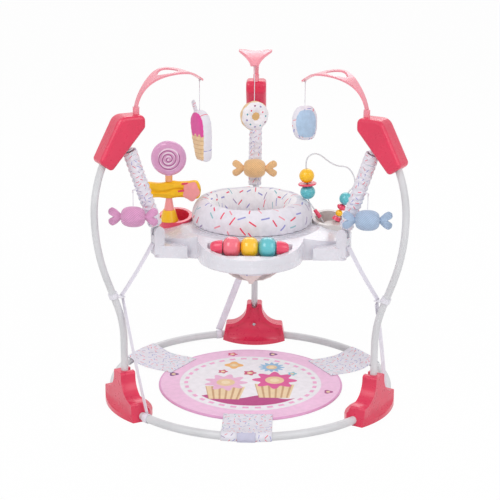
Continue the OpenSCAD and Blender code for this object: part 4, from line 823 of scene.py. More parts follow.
class JUMPER_OT_beads(bpy.types.Operator):
    """Beads on the two ends of the wire"""

    bl_idname = "jumper.beads"
    bl_label = "Beads"

    def execute(self, context):
        _, tints = sizes_of(context)
        mats = {
            "teal": plastic("Teal bead", tints.teal, 0.22, 0.5),
            "red": plastic("Red bead", tints.red, 0.22, 0.5),
            "yellow": plastic("Yellow bead", tints.yellow, 0.22, 0.3),
        }
        for body, (foot, slope, share, beads) in BEADS.items():
            lean = math.atan(slope)
            c, k = math.cos(lean), math.sin(lean)
            spin = np.array([[c, 0, -k], [0, 1, 0], [k, 0, c]])
            place = WIRE_BASE + WIRE_H * np.array([foot[0] + (share - foot[1]) * slope, 0, share])
            for k, (tint, d, flat, rise) in enumerate(beads):
                ring = self.ball(d, flat) if flat else self.disc(d, DISC_T)
                P = (lathe(ring, 48) + [0, 0, rise]) @ spin + place
                piece = surface(f"{body}_{tint}", P, [mats[tint]], wrap_v=True, wrap_u=True)
                settle(piece, body, "bead_plastic", *([body] if k == 0 else []))
        return {"FINISHED"}

    @staticmethod
    def ball(d, flat):
        """Flattened ball with a hole: half an ellipse cut off at the hole and closed by the bore."""
        end = math.acos(HOLE_R / (d / 2))
        a = np.linspace(-end, end, 25)
        out = np.stack([d / 2 * np.cos(a), d / 2 * flat * np.sin(a)], -1)
        return np.concatenate([out, [[BORE_R, out[-1, 1] - 0.8], [BORE_R, out[0, 1] + 0.8]]])

    @staticmethod
    def disc(d, t):
        """Flat disc whose rim is half a rounded slot, closed by its bore."""
        a = np.linspace(-math.pi / 2, math.pi / 2, 13)
        e = t * 0.42
        rise = (t / 2 - e) * np.sign(np.sin(a)) + e * np.sin(a)
        out = np.stack([d / 2 - e + e * np.cos(a), rise], -1)
        return np.concatenate([[[BORE_R, -t / 2]], out, [[BORE_R, t / 2]]])


class JUMPER_OT_lollipop(bpy.types.Operator):
    """Lollipop's disc with its wound ridge, and the folded ribbon round the stem"""

    bl_idname = "jumper.lollipop"
    bl_label = "Lollipop and ribbon"

    def execute(self, context):
        sizes, tints = sizes_of(context)
        self.tints = tints
        wound = plastic("Lollipop plastic", tints.candy, 0.26, 0.4, colour_of=self.swirl)
        dress_nodes(wound, "lolly_disc")
        line = plastic("Lollipop line", tints.candy_line, 0.3, 0.3)
        for name, face in (("front", -1), ("back", 1)):
            self.ridge(f"lolly_ridge_{name}", face, sizes.spiral_ridge / MM, line)
        self.ribbon(tints)
        return {"FINISHED"}

    def swirl(self, web, where):
        """Spiral by turns: the radius over the pitch less the angle over a full turn, its fraction near a
        half marking the pale line; the neck below the disc is orange."""
        away = web.vec("SUBTRACT", where, metres(LOLLY))
        x, y, z = web.split(away)
        r = web.vec("LENGTH", web.join(x, 0.0, z))
        face = web.times(x, web.calc("SIGN", y))
        angle = web.calc("DIVIDE", web.calc("ARCTAN2", z, face), TURN)
        wind = web.calc("FRACT", web.minus(web.calc("DIVIDE", r, SPIRAL_PITCH * MM), angle))
        reach = SPIRAL_PITCH * (SPIRAL_TURNS[1] + 0.05) * MM
        pale = web.times(web.inside(web.apart(wind, 0.5), 0.2, 0.06), web.calc("LESS_THAN", r, reach))
        tone = web.mix(pale, self.tints.candy, srgb(248, 226, 242))
        return web.mix(web.calc("LESS_THAN", z, -LOLLY_NECK), tone, srgb(248, 176, 120))

    def ridge(self, name, face, radius, mat):
        """A thin bar wound in a flat spiral: its distance from the middle grows by one pitch a turn."""
        turn = np.linspace(*SPIRAL_TURNS, 230)
        r = SPIRAL_PITCH * turn
        x, z = r * np.cos(TURN * turn), r * np.sin(TURN * turn)
        fade = np.clip(np.minimum(turn - SPIRAL_TURNS[0], SPIRAL_TURNS[1] - turn) / 0.05, 0.05, 1)
        path = np.stack([-face * x, np.full_like(x, face * LOLLY_FACE), z], -1) + LOLLY
        piece = surface(name, tube(path, radius * fade, 8), [mat], wrap_v=True)
        settle(piece, "lollipop", "lolly_plastic")

    def ribbon(self, tints):
        """Folded bow: an oval of even height carried along X, parted on its front by a wavy fold that falls
        in by a bell across it, and blunt at both ends; a lobed patch is sewn on its right end."""
        rows, cols = 90, 84
        u = np.linspace(-1, 1, rows)[:, None]
        w = np.linspace(0, TURN, cols, endpoint=False)[None]
        blunt = np.sqrt(np.clip(1 - np.abs(u) ** 12, 0, 1))
        swell = (0.93 + 0.07 * np.cos(TURN * u)) * (1 + 0.26 * np.clip(u - 0.2, 0, 1)) * blunt
        rolls = 1 + 0.05 * np.sin(5 * w + 3.0 * np.sin(2.2 * u)) + 0.03 * np.sin(9 * w - 4.0 * u)
        z = RIBBON_H / 2 * swell * rolls * np.sin(w)
        fold = np.exp(-(((z - 3.5 * np.sin(5.2 * u + 0.6)) / 3.4) ** 2)) * (np.cos(w) < 0)
        y = RIBBON_DEEP * blunt * rolls * np.sign(np.cos(w)) * np.abs(np.cos(w)) ** 0.7 * (1 - 0.42 * fold)
        x = RIBBON_LEN / 2 * u + 1.6 * np.sin(3 * w) * u
        bow = np.array([LOLLY[0], LOLLY[1], RIBBON_Z])
        P = np.stack([x, y, z + 1.5 * np.sin(2.5 * u)], -1) + (bow + [8, 0, 0])
        cloth = woven("Ribbon cloth", tints.yellow, 0.0009, 0.05, 0.55)
        piece = surface("lolly_bow", P, [cloth], wrap_v=True)
        settle(piece, "tray", "yellow_cloth", "lolly_ribbon")
        t = np.linspace(0, TURN, 72, endpoint=False)
        r = 22.5 + 1.8 * np.cos(5 * t + 0.8)
        lobes = np.stack([r * np.cos(t), 1.16 * r * np.sin(t)], -1)
        patch = woven("Ribbon patch", tints.stem, 0.0009, 0.3, 0.7)
        P = pillow(lobes, 7.0, 10, (2.6, 0.6), 0.4, 11, (0, 0)) + (bow + [61, -14, -1])
        settle(surface("lolly_bow_patch", P, [patch], wrap_v=True), "tray", "pale_pink_plastic")
        red = woven("Ribbon tab", tints.red, 0.0009, 0.3, 0.7)
        for name, x, z in (("upper", 44.0, 20.5), ("lower", 34.0, 0.0)):
            line = rounded([(-9, -4), (9, -1.5), (9, 4), (-9, 1.5)], 48, 2)
            P = pillow(line, 4.0, 8, (2.6, 0.6)) + (bow + [x, -15.0, z])
            settle(surface(f"lolly_bow_tab_{name}", P, [red], wrap_v=True), "tray", "red_plastic")


class JUMPER_OT_hanging_toys(bpy.types.Operator):
    """Stuffed cone, ring and cushion that hang from the mobile arms"""

    bl_idname = "jumper.hanging_toys"
    bl_label = "Hanging toys"

    def execute(self, context):
        self.sizes, self.tints = sizes_of(context)
        self.cloth = printed_cloth(self.sizes, self.tints)
        self.cone()
        self.ring()
        self.cushion()
        return {"FINISHED"}

    def hung(self, name, P, side, mats, uv, face_mat=None, wrap_u=False, tilt=0.0):
        """A toy hung under its cord: turned about the cord, tilted sideways in degrees and moved there."""
        P = turned(P, TOY_TURN[side] + STATIONS[side])
        c, k = math.cos(math.radians(tilt)), math.sin(math.radians(tilt))
        P = np.stack([c * P[..., 0] - k * P[..., 2], P[..., 1], k * P[..., 0] + c * P[..., 2]], -1)
        top = turned([[TOY_PIVOT[0], 0, TOY_PIVOT[1] - TOY_CORD[side]]], STATIONS[side])[0]
        return surface(name, P + top, mats, wrap_u, True, uv, face_mat)

    def cone(self):
        """Scoop on a biscuit cone, its front ribbed by rounded steps; the back is printed cloth."""
        a = np.linspace(-0.1, math.pi + 0.1, 24)
        scoop = np.stack([32 * np.cos(a), -32 + 32 * np.sin(a)], -1)
        sides = np.array([[-31.5, -50], [-30.5, -66], [-18, -137], [18, -137], [30.5, -66], [31.5, -50]])
        line = rounded(np.concatenate([scoop, sides]), 120, 2.4)
        P = pillow(line, 34.0, 22, (8.0, 0.42), 0.6 * self.sizes.pucker / MM, 19, (0, -62))
        front = (P[..., 1] > 0) & (np.arange(P.shape[0])[:, None] < CONE_FACE_ROWS)
        rib = 1.3 * np.abs(np.sin(math.pi * P[..., 2] / 11.5)) * np.clip((-66 - P[..., 2]) / 4, 0, 1)
        P[..., 1] += np.where(front, rib * np.clip(P[..., 1] / 8, 0, 1), 0)
        uv = flat_uv(P)

        def ice(web, where):
            x, z, _ = web.split(where)
            drip = web.times(web.wave(x, 330.0), 0.004)
            low = web.calc("LESS_THAN", z, web.minus(drip, 0.064))
            line = web.wave(z, 546.0)
            tan = web.mix(web.span(line, 0.75, 0.98), self.tints.tan, srgb(212, 168, 118))
            return web.mix(low, self.tints.magenta, tan)

        face = np.arange(P.shape[0] - 1)[:, None] >= CONE_FACE_ROWS
        mats = [plush("Cone plush", self.tints.tan, ice), self.cloth]
        piece = self.hung("cone_pillow", P, "left", mats, uv, face, tilt=CONE_TILT)
        settle(piece, "cone_toy", "pink_plush", "cone_toy")
        bar = rounded([(8, -10), (22, 26), (37, 20), (24, -16)], 72, 3)
        P = pillow(bar, 8.0, 10, (2.6, 0.6), 0.3, 9)
        wafer = self.hung("cone_wafer", P, "left", [self.cloth], flat_uv(P), tilt=CONE_TILT)
        settle(wafer, "cone_toy", "pink_plush")

    def ring(self):
        """Stuffed ring: a round tube carried in a circle, its front iced in a wavy edge and dotted."""
        big, small = 24.0, 17.0
        t = np.linspace(0, TURN, 96, endpoint=False)[None]
        w = np.linspace(0, TURN, 48, endpoint=False)[:, None]
        r = small * (1 + 0.03 * np.sin(9 * t) * np.cos(w) + 0.015 * noise_wave(4 * t, 3 * w))
        reach = big + r * np.cos(w)
        P = np.stack([reach * np.cos(t), r * np.sin(w) + 0 * t, reach * np.sin(t) - big - small], -1)
        grid = np.meshgrid(np.linspace(0, 1, 49), np.linspace(0, 1, 97), indexing="ij")
        uv = np.stack(grid, -1)

        def icing(web, where):
            v, u, _ = web.split(where)
            wave = web.times(web.wave(u, TURN * 9), 0.018)
            off = web.apart(v, 0.25)
            ice = web.inside(web.plus(off, wave), 0.185, 0.012)
            cell = web.times(u, 11.0)
            chance = web.add("TexWhiteNoise", {"noise_dimensions": "1D"}, W=web.calc("FLOOR", cell)).outputs
            side = web.times(web.minus(web.calc("FRACT", cell), 0.5), 13.7)
            stray = web.span(chance[0], 0, 1, -0.05, 0.05, False)
            rise = web.plus(web.minus(v, 0.22), stray)
            dot = web.vec("LENGTH", web.join(side, web.times(rise, 106.0)))
            dot = web.inside(dot, 2.4, 0.4)
            ink = web.steps(chance[0], [
                (0.0, self.tints.red), (0.35, srgb(90, 170, 180)),
                (0.6, srgb(140, 130, 190)), (0.82, srgb(150, 70, 110)),
            ])
            iced = web.mix(dot, srgb(246, 243, 247), ink)
            return web.mix(ice, self.tints.tan, iced)

        plushes = [plush("Ring plush", self.tints.tan, icing)]
        piece = self.hung("ring_pillow", P, "rear", plushes, uv, wrap_u=True)
        settle(piece, "ring_toy", "orange_plush", "ring_toy")
        t = np.linspace(0, TURN, 48, endpoint=False)
        low = -big - small
        line = 15.5 * np.stack([np.cos(t), np.sin(t)], -1) + [0, low]
        P = pillow(line, 25.0, 10, (6.0, 0.6), 0.0, 1, (0, low))
        fill = plush("Ring middle", srgb(226, 182, 120))
        middle = self.hung("ring_middle", P, "rear", [fill], flat_uv(P))
        settle(middle, "ring_toy", "orange_plush")

    def cushion(self):
        """Egg-shaped cushion, its face in blue plush inside a printed rim."""
        egg = [
            (-20, -1), (20, -1), (34, -24), (35, -52), (26, -84),
            (4, -93), (-26, -92), (-35, -66), (-34, -24),
        ]
        line = rounded(egg, 110, 7)
        P = pillow(line, 33.0, 18, (3.0, 0.6), self.sizes.pucker / MM, 17, (0, -47))
        back = np.arange(P.shape[0] - 1)[:, None] >= CUSHION_FACE_ROWS
        blue = plush("Blue plush", srgb(178, 204, 230))
        piece = self.hung("cushion_pillow", P, "right", [blue, self.cloth], flat_uv(P), back)
        settle(piece, "cushion_toy", "blue_plush", "cushion_toy")


class JUMPER_OT_sweets(bpy.types.Operator):
    """Stuffed sweets that hang from the spring covers"""

    bl_idname = "jumper.sweets"
    bl_label = "Hanging sweets"

    def execute(self, context):
        sizes, tints = sizes_of(context)
        for side, tint, slot in (
            ("left", tints.sweet_pink, "pink_plush"), ("right", tints.sweet_blue, "blue_plush"),
            ("rear", tints.sweet_orange, "orange_plush"),
        ):
            mat = plush(f"Sweet plush {side}", tint, self.stripes(tint))
            flat, ahead = (1.0, 0.0) if side == "rear" else SWEET_BACK
            place = np.array(SWEET_PIVOT[side]) - [0, ahead, SWEET_CORD + SWEET_DROP]
            P = self.barrel(sizes.pucker / MM)
            P[..., 1] *= np.where(P[..., 1] > 0, flat, 1.0)
            body = surface(f"sweet_body_{side}", P + place, [mat], wrap_v=True)
            settle(body, f"candy_{side}", slot, f"candy_{side}")
            for end, sign in (("near", -1), ("far", 1)):
                P = self.wing(sizes.pucker / MM) * [sign, 1, 1] + [sign * SWEET_ROOT, 0, 0] + place
                wing = surface(f"sweet_wing_{side}_{end}", P, [mat], wrap_v=True)
                settle(wing, f"candy_{side}", slot)
        return {"FINISHED"}

    @staticmethod
    def stripes(tint):
        """Fine slanted stripes: a sine of the cloth's width plus height, from the tint to a darker one."""

        def build(web, where):
            x, y, _ = web.split(where)
            wave = web.wave(web.plus(x, y), TURN / SWEET_STRIPE)
            return web.mix(web.span(wave, -0.5, 0.5), tint, tuple(0.8 * c for c in tint))

        return build

    @staticmethod
    def barrel(pucker):
        """Barrel along X: its radius follows a squared ellipse to a narrow neck, with crimps that deepen
        towards the two necks."""
        u = np.linspace(-1, 1, 41)[:, None]
        w = np.linspace(0, TURN, 64, endpoint=False)[None]
        r = SWEET_R * (0.24 + 0.76 * np.sqrt(np.clip(1 - np.abs(u) ** 2.6, 0, 1)))
        r = r + 1.6 * pucker * np.abs(u) ** 3 * np.cos(11 * w + 2 * np.sign(u)) * (np.abs(u) < 0.99)
        x = SWEET_HALF * u * (1 + 0.012 * np.cos(11 * w))
        P = np.stack([x, r * np.cos(w), r * np.sin(w)], -1)
        caps = [P[k : k + 1].mean(1, keepdims=True) + 0 * P[k : k + 1] for k in (0, 40)]
        return np.concatenate([caps[0], P, caps[1]], 0)

    @staticmethod
    def wing(pucker):
        """Two-lobed wing: a fan from its root to two round lobes with a notch between them."""
        half = [(-4, 3), (3, 7), (16, 20), (27, 25.5), (36, 19), (37, 8), (23, 0)]
        line = rounded(half + [(x, -z) for x, z in half[-2::-1]], 96, 2.6)
        return pillow(line, 19.0, 12, (2.2, 0.6), 0.7 * pucker, 15, (16, 0))


class JUMPER_OT_springs(bpy.types.Operator):
    """Coil springs with their end plugs, gathered covers and the loops of the sweets"""

    bl_idname = "jumper.springs"
    bl_label = "Springs and covers"

    def execute(self, context):
        sizes, tints = sizes_of(context)
        cloth = printed_cloth(sizes, tints)
        steel = metal("Spring steel", srgb(176, 176, 182), 0.3)
        white = plastic("Plug plastic", tints.tray, 0.35)
        for side, angle in STATIONS.items():
            top, low = (self.at(angle, z) for z in (SPRING_LEN - PLUG_LEN, PLUG_LEN))
            coil = surface(f"spring_coil_{side}", on_spring(self.coil(), angle), [steel], wrap_v=True)
            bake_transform(coil)
            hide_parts("coil_springs")
            for name, flip, body in (("hook", 1, "tray"), ("pin", -1, "frame")):
                self.plugs(side, angle, name, flip, body, white)
            P = on_spring(self.sleeve(sizes.gather / MM, angle), angle)
            cover = surface(f"spring_cover_{side}", P, [cloth], wrap_v=True, wrap_u=True)
            end = self.at(angle, REAR_COVER_TIE if side == "rear" else PLUG_LEN)
            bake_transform(cover)
            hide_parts(f"cover_{side}")
            self.loop(side, angle, cloth)
        return {"FINISHED"}

    @staticmethod
    def at(angle, z):
        return metres(on_spring([[0, 0, z]], angle)[0])

    @staticmethod
    def coil():
        """Round wire on a helix between the two plugs."""
        t = np.linspace(0, COIL_TURNS, COIL_TURNS * 24 + 1)
        z = COIL_END + (SPRING_LEN - 2 * COIL_END) * t / COIL_TURNS
        return tube(spun(COIL_R, TURN * t, z), COIL_WIRE_R, 8, up=(0.0, 0.0, 1.0))

    def plugs(self, side, angle, name, flip, body, mat):
        """End plug: an eye bent round the pin, and a turned head that carries the coil."""
        w = np.linspace(0, TURN, 33)[:-1]
        eye = tube(np.stack([EYE_R * np.cos(w), 0 * w, EYE_R * np.sin(w)], -1), EYE_WIRE_R, 10, loop=True)
        for part, P, wrap in (("eye", eye, True), ("head", lathe(PLUG_HEAD, 32), False)):
            if flip < 0:
                P = P * [1, 1, -1] + [0, 0, SPRING_LEN]
            P = on_spring(P, angle)
            piece = surface(f"spring_{name}_{part}_{side}", P, [mat], wrap_v=True, wrap_u=wrap)
            settle(piece, body, "steel")

    @staticmethod
    def sleeve(gather, angle):
        """Gathered sleeve: a radius that falls into each gather along the spring, the gathers shifting and
        fading round the sleeve, with a hemmed end and an inner wall."""
        z0, z1 = COVER_LOW, SPRING_LEN - COVER_HIGH
        s = np.linspace(0, 1, 181)[:, None]
        w = np.linspace(0, TURN, 72, endpoint=False)[None]
        slip = 0.9 * noise_wave(2 * w, 9 * s, angle) + 0.35 * np.sin(3 * w + 14 * s)
        fold = 0.5 + 0.5 * np.cos(TURN * COVER_GATHERS * s + 1.6 * slip)
        hem = np.clip(np.minimum(s, 1 - s) / 0.03, 0, 1)
        r = COVER_R - gather * fold * (0.65 + 0.35 * np.sin(2 * w + 5 * s)) * hem - 1.6 * (1 - hem)
        wall = spun(r, w, z0 + (z1 - z0) * s)
        inner = wall[::-1] * [0, 0, 1] + spun(COVER_BORE_R, w, 0.0)
        return np.concatenate([wall, inner[::30]], 0)

    def loop(self, side, angle, mat):
        """Sewn loop: a flat-lying bar from the cover's wall out to the sweet's knot."""
        knot = np.array(SWEET_PIVOT[side]) + [0, 0, LOOP_RISE]
        reach = (knot[2] - SPRING_B[1]) / math.cos(SPRING_LEAN)
        axis = on_spring([[0, 0, reach]], angle)[0]
        away = (knot - axis) * [1, 1, 0]
        away = away / np.linalg.norm(away)
        start = np.array([axis[0], axis[1], knot[2]]) + LOOP_ROOT * away
        s = np.linspace(0, 1, 20)[:, None]
        path = start + (knot + LOOP_PAST * away - start) * s + [0, 0, 1.0] * np.sin(math.pi * s)
        P = tube(path, LOOP_R, 10, up=(0, 0, 1.0))
        settle(surface(f"sweet_loop_{side}", P, [mat], wrap_v=True), f"cover_{side}", "print_cloth")


class JUMPER_OT_seat(bpy.types.Operator):
    """Cushion ring and hanging bag of the seat"""

    bl_idname = "jumper.seat"
    bl_label = "Seat"

    def execute(self, context):
        sizes, tints = sizes_of(context)
        cloth, lining = (printed_cloth(sizes, tints, kind) for kind in ("seat", "lining"))
        P = self.ring()
        # Inner faces take the paler ground, painted light that lifts the shade inside the seat
        inner = np.arange(P.shape[0])[:, None] >= PAINTED_LIGHT_ROW
        pad = surface("seat_cushion", P, [cloth, lining], wrap_u=True, wrap_v=True, face_mat=inner)
        settle(pad, "seat", "print_cloth", "seat_pad")
        t = np.linspace(0, TURN, 160, endpoint=False)
        seam = spun(SEAM_R, t, SEAM_Z + 0.5 * np.sin(13 * t))
        piping = woven("Seat piping", srgb(232, 228, 238), sizes.thread, 0.2)
        P = tube(seam, PIPING_R, 10, up=(0, 0, 1.0), loop=True)
        settle(surface("seat_piping", P, [piping], wrap_u=True, wrap_v=True), "seat", "print_cloth")
        self.bag(sizes, tints)
        return {"FINISHED"}

    @staticmethod
    def ring():
        """Stuffed ring: a crowned section tucked in at its foot and carried round the seat, with shallow
        creases that run up from the seams and a soft uneven swell."""
        k = np.linspace(0, 1, 57)[:, None]
        t = np.linspace(0, TURN, 260, endpoint=False)[None]
        a = np.radians(-25 + 230 * k)
        low = math.sin(math.radians(25))
        swell = 1 + 0.018 * noise_wave(5 * t, 4 * k) + 0.01 * np.sin(11 * t + 3 * k)
        edge = np.exp(-((k / 0.13) ** 2)) + np.exp(-(((1 - k) / 0.13) ** 2))
        crease = 1.5 * edge * np.sin(38 * t + 2.2 * np.sin(5 * t))
        r = PAD_R + PAD_HALF * np.cos(a) * swell + crease * np.sign(np.cos(a))
        z = PAD_Z + PAD_H * (np.sin(a) + low) / (1 + low) * swell
        return spun(r, t, z)

    def bag(self, sizes, tints):
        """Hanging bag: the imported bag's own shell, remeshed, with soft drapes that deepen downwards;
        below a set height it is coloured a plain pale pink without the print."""
        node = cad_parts["seat_bag"]
        mesh = node.data.copy()
        mesh.name = "seat_sling"
        bag = bpy.data.objects.new("seat_sling", mesh)
        bpy.context.scene.collection.objects.link(bag)
        tool = bmesh.new()
        tool.from_mesh(mesh)
        bmesh.ops.remove_doubles(tool, verts=tool.verts, dist=1e-5)
        tool.to_mesh(mesh)
        tool.free()
        remesh = bag.modifiers.new("even", "REMESH")
        remesh.mode, remesh.voxel_size = "VOXEL", SLING_STEP
        even = bpy.data.meshes.new_from_object(bag.evaluated_get(bpy.context.evaluated_depsgraph_get()))
        bag.modifiers.clear()
        bag.data = even
        co = np.zeros(len(even.vertices) * 3, np.float32)
        even.vertices.foreach_get("co", co)
        p = co.reshape(-1, 3).astype(float)
        t, r = np.arctan2(p[:, 1], p[:, 0]), np.hypot(p[:, 0], p[:, 1])
        deep = np.clip((SLING_TOP_Z - p[:, 2]) / SLING_FALL, 0, 1) * np.clip(r / 0.05, 0, 1)
        move = -SLING_DRAPE * deep * (0.5 + 0.5 * noise_wave(5 * t, 22 * p[:, 2]))
        p[:, :2] *= (1 + move / np.maximum(r, 0.02))[:, None]
        even.vertices.foreach_set("co", p.astype(np.float32).ravel())
        corner = np.zeros(len(even.loops), np.int32)
        even.loops.foreach_get("vertex_index", corner)
        uv = np.stack([t * 0.12, p[:, 2] + 0.6 * (0.13 - r)], -1)[corner]
        layer = even.uv_layers.new(name="UVMap")
        layer.data.foreach_set("uv", uv.astype(np.float32).ravel())
        even.polygons.foreach_set("use_smooth", np.ones(len(even.polygons), bool))

        def bag_colour(web, where):
            z = web.split(web.add("TexCoord").outputs["Object"])[2]
            group = dash_print(tints)
            printed = place_group(web, group, Vector=where, Ground=tints.cloth, Dash=sizes.pad_dash)
            # Below a set height the bag is coloured a plain pale pink
            plain = web.calc("LESS_THAN", z, SLING_BASE_Z)
            return web.mix(plain, printed["Colour"], srgb(246, 230, 226))

        even.materials.clear()
        even.materials.append(woven("Sling cloth", tints.cloth, sizes.thread, colour_of=bag_colour))
        settle(bag, "seat", "print_cloth", "seat_bag")


class JUMPER_OT_straps(bpy.types.Operator):
    """Straps from the tray to the legs and from the legs to the floor ring"""

    bl_idname = "jumper.straps"
    bl_label = "Straps"

    def execute(self, context):
        sizes, _ = sizes_of(context)
        half = sizes.strap_width / MM / 2
        web = woven("Webbing", srgb(236, 232, 243), 0.0016, 0.2, 0.75)
        aside = math.asin(LOWER_ASIDE / RING_R)
        foot = (RING_R * math.cos(aside), RING_R * math.sin(aside), LOWER_Z)
        upper = self.strip(STRAP_TOP, STRAP_KEEPER, half, STRAP_SAG)
        lower = self.strip(LOWER_HEAD, foot, half, LOWER_SAG, (1.0, 0, 0))
        loop = turned(self.collar(half * 0.8), math.degrees(aside))
        for side, angle in STATIONS.items():
            piece = surface(f"strap_upper_{side}", turned(upper, angle), [web], wrap_v=True)
            ends = turned([STRAP_KEEPER, STRAP_TOP], angle)
            metres(ends[0])
            metres(ends[1])
            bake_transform(piece)
            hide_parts("upper_straps")
            piece = surface(f"strap_lower_{side}", turned(lower, angle), [web], wrap_v=True)
            settle(piece, "frame", "webbing", "lower_straps")
            piece = surface(f"strap_loop_{side}", turned(loop, angle), [web], wrap_u=True, wrap_v=True)
            settle(piece, "frame", "webbing")
        return {"FINISHED"}

    @staticmethod
    def strip(p, q, half, sag, face=(0, 0, 1.0)):
        """Flat band from one point to the other: a thin rounded slot carried along a line that sags by a
        sine, its width square to the line and to the direction its flat side faces."""
        p, q = np.array(p), np.array(q)
        d = (q - p) / np.linalg.norm(q - p)
        wide = np.cross(face, d)
        wide = wide / np.linalg.norm(wide)
        thick = np.cross(d, wide)
        s = np.linspace(0, 1, 40)[:, None]
        line = p + (q - p) * s + thick * sag * np.sin(math.pi * s)
        w = np.linspace(0, TURN, 20, endpoint=False)
        across = half * np.sign(np.cos(w)) * np.abs(np.cos(w)) ** 0.35
        up = STRAP_HALF_T * np.sign(np.sin(w)) * np.abs(np.sin(w)) ** 0.6
        P = line[:, None] + across[None, :, None] * wide + up[None, :, None] * thick
        ends = [np.repeat(line[k][None, None], 20, 1) for k in (0, -1)]
        return np.concatenate([ends[0], P, ends[1]], 0)

    @staticmethod
    def collar(half):
        """Band sewn round the ring's tube: a thin wall turned round the tube's line."""
        w = np.linspace(0, TURN, 40, endpoint=False)
        edge = [(11.3, half), (12.7, half), (12.8, half - 1)]
        r, y = np.array([(r, -y) for r, y in edge] + edge[::-1]).T
        out, up = RING_R + np.outer(r, np.cos(w)), RING_Z + np.outer(r, np.sin(w))
        return np.stack([out, np.repeat(y[:, None], 40, 1), up], -1)


class JUMPER_OT_mat(bpy.types.Operator):
    """Round play mat with its picture, piped rim and the tabs that hold it to the ring"""

    bl_idname = "jumper.mat"
    bl_label = "Play mat"

    def execute(self, context):
        sizes, tints = sizes_of(context)
        self.tints = tints
        mat = woven("Mat print", tints.mat, sizes.thread, 0.2, 0.8, colour_of=self.picture)
        P = self.disc(sizes.mat_ripple / MM)
        piece = surface("mat_disc", P, [mat], wrap_v=True, uv=flat_uv(P, (0, 1)))
        settle(piece, "frame", "mat_cloth", "play_mat")
        t = np.linspace(0, TURN, 240, endpoint=False)
        binding = woven("Mat binding", srgb(232, 170, 212), sizes.thread, 0.2)
        P = tube(spun(BINDING_R, t, BINDING_Z), BINDING_TUBE_R, 12, up=(0, 0, 1.0), loop=True)
        settle(surface("mat_binding", P, [binding], wrap_u=True, wrap_v=True), "frame", "mat_cloth")
        cloth = printed_cloth(sizes, tints)
        for k, (name, angle) in enumerate(TAB_STATIONS.items()):
            P, flat = self.tab(k)
            piece = surface(f"mat_tab_{name}", turned(P, angle), [cloth], wrap_v=True)
            settle(piece, "frame", "print_cloth", "mat_tabs")
        self.patch()
        return {"FINISHED"}

    @staticmethod
    def disc(ripple):
        """Thin cushion: a flat foot, a rounded rim and a top lifted by an uneven ripple."""
        a = np.linspace(-math.pi / 2, math.pi / 2, 9)
        r = np.concatenate([[0, 120, 248], MAT_R + 3.6 * np.cos(a), np.linspace(MAT_R - 2, 0, 46)])
        z = np.concatenate([[0.2, 0.2, 0.2], 4.0 + 3.8 * np.sin(a), np.full(46, MAT_TOP)])
        P = lathe(np.stack([r, z], -1), 220)
        top = np.clip((P[..., 2] - 6) / 1.9, 0, 1)
        P[..., 2] += top * ripple * noise_wave(P[..., 0] / 38, P[..., 1] / 38) - 0.35 * top
        return P

    def picture(self, web, where):
        """Printed picture in plan: a border, a white round with a ring of dashes, a wavy ground, two flower
        pots with blooms, and small flowers on it and on the border."""
        tints = self.tints
        x, y, _ = web.split(where)
        r = web.vec("LENGTH", web.join(x, y))
        angle = web.calc("ARCTAN2", y, x)
        white = srgb(246, 242, 247)
        colour = web.mix(web.inside(r, 0.2, 0.0012), tints.mat, white)
        round_row = web.inside(web.apart(r, 0.182), 0.0055, 0.0008)
        dash = web.times(web.span(web.wave(angle, 34.0), -0.1, 0.1), round_row)
        colour = web.mix(dash, colour, srgb(244, 176, 214))
        hill = web.plus(web.times(web.wave(x, 46.0), 0.012), -0.105)
        ground = web.times(web.inside(y, hill, 0.001), web.inside(r, 0.168, 0.001))
        colour = web.mix(ground, colour, srgb(190, 60, 132))
        for px, low, high in ((-0.07, -0.125, -0.035), (0.068, -0.11, -0.012)):
            colour = self.pot(web, colour, web.minus(x, px), y, low, high)
        for px, py, size, lobes, tint in (
            (-0.07, -0.004, 0.062, 9, srgb(240, 186, 216)), (0.068, 0.018, 0.064, 8, srgb(228, 84, 154)),
            (0.058, 0.118, 0.038, 12, srgb(150, 192, 226)), (-0.004, 0.07, 0.02, 5, srgb(206, 60, 110)),
            (-0.052, 0.128, 0.028, 4, srgb(246, 186, 110)), (-0.082, 0.078, 0.015, 5, srgb(206, 60, 110)),
            (0.118, 0.07, 0.014, 5, srgb(120, 196, 214)), (-0.222, 0.05, 0.015, 3, srgb(120, 60, 130)),
            (-0.06, 0.216, 0.016, 5, srgb(214, 60, 120)), (0.06, 0.222, 0.014, 3, srgb(120, 60, 130)),
            (0.218, -0.06, 0.014, 3, srgb(170, 70, 140)),
        ):
            colour = self.flower(web, colour, x, y, (px, py), size, lobes, tint)
        return colour

    @staticmethod
    def pot(web, colour, x, y, low, high):
        """Flower pot: a band whose half width grows with its height, striped by a sine across it."""
        rise = web.span(y, low, high, 0.0, 1.0, False)
        half = web.calc("MULTIPLY_ADD", rise, 0.014, 0.042)
        body = web.inside(web.calc("ABSOLUTE", x), half, 0.0008)
        off = web.apart(y, (low + high) / 2)
        body = web.times(body, web.inside(off, (high - low) / 2, 0.0008))
        rib = web.wave(web.calc("DIVIDE", x, half), 17.0)
        tan = web.mix(web.span(rib, 0.2, 0.8), srgb(242, 214, 172), srgb(206, 160, 116))
        return web.mix(body, colour, tan)

    @staticmethod
    def flower(web, colour, x, y, place, size, lobes, tint):
        """Flower: a radius that swings with the angle makes the petals, with a tan eye in the middle."""
        dx, dy = web.minus(x, place[0]), web.minus(y, place[1])
        r = web.vec("LENGTH", web.join(dx, dy))
        swing = web.calc("COSINE", web.times(web.calc("ARCTAN2", dy, dx), float(lobes)))
        edge = web.calc("MULTIPLY_ADD", swing, size * 0.16, size * 0.84)
        colour = web.mix(web.inside(r, edge, 0.0008), colour, tint)
        colour = web.mix(web.inside(r, size * 0.42, 0.0008), colour, srgb(240, 206, 160))
        return web.mix(web.inside(r, size * 0.2, 0.0008), colour, srgb(250, 226, 190))

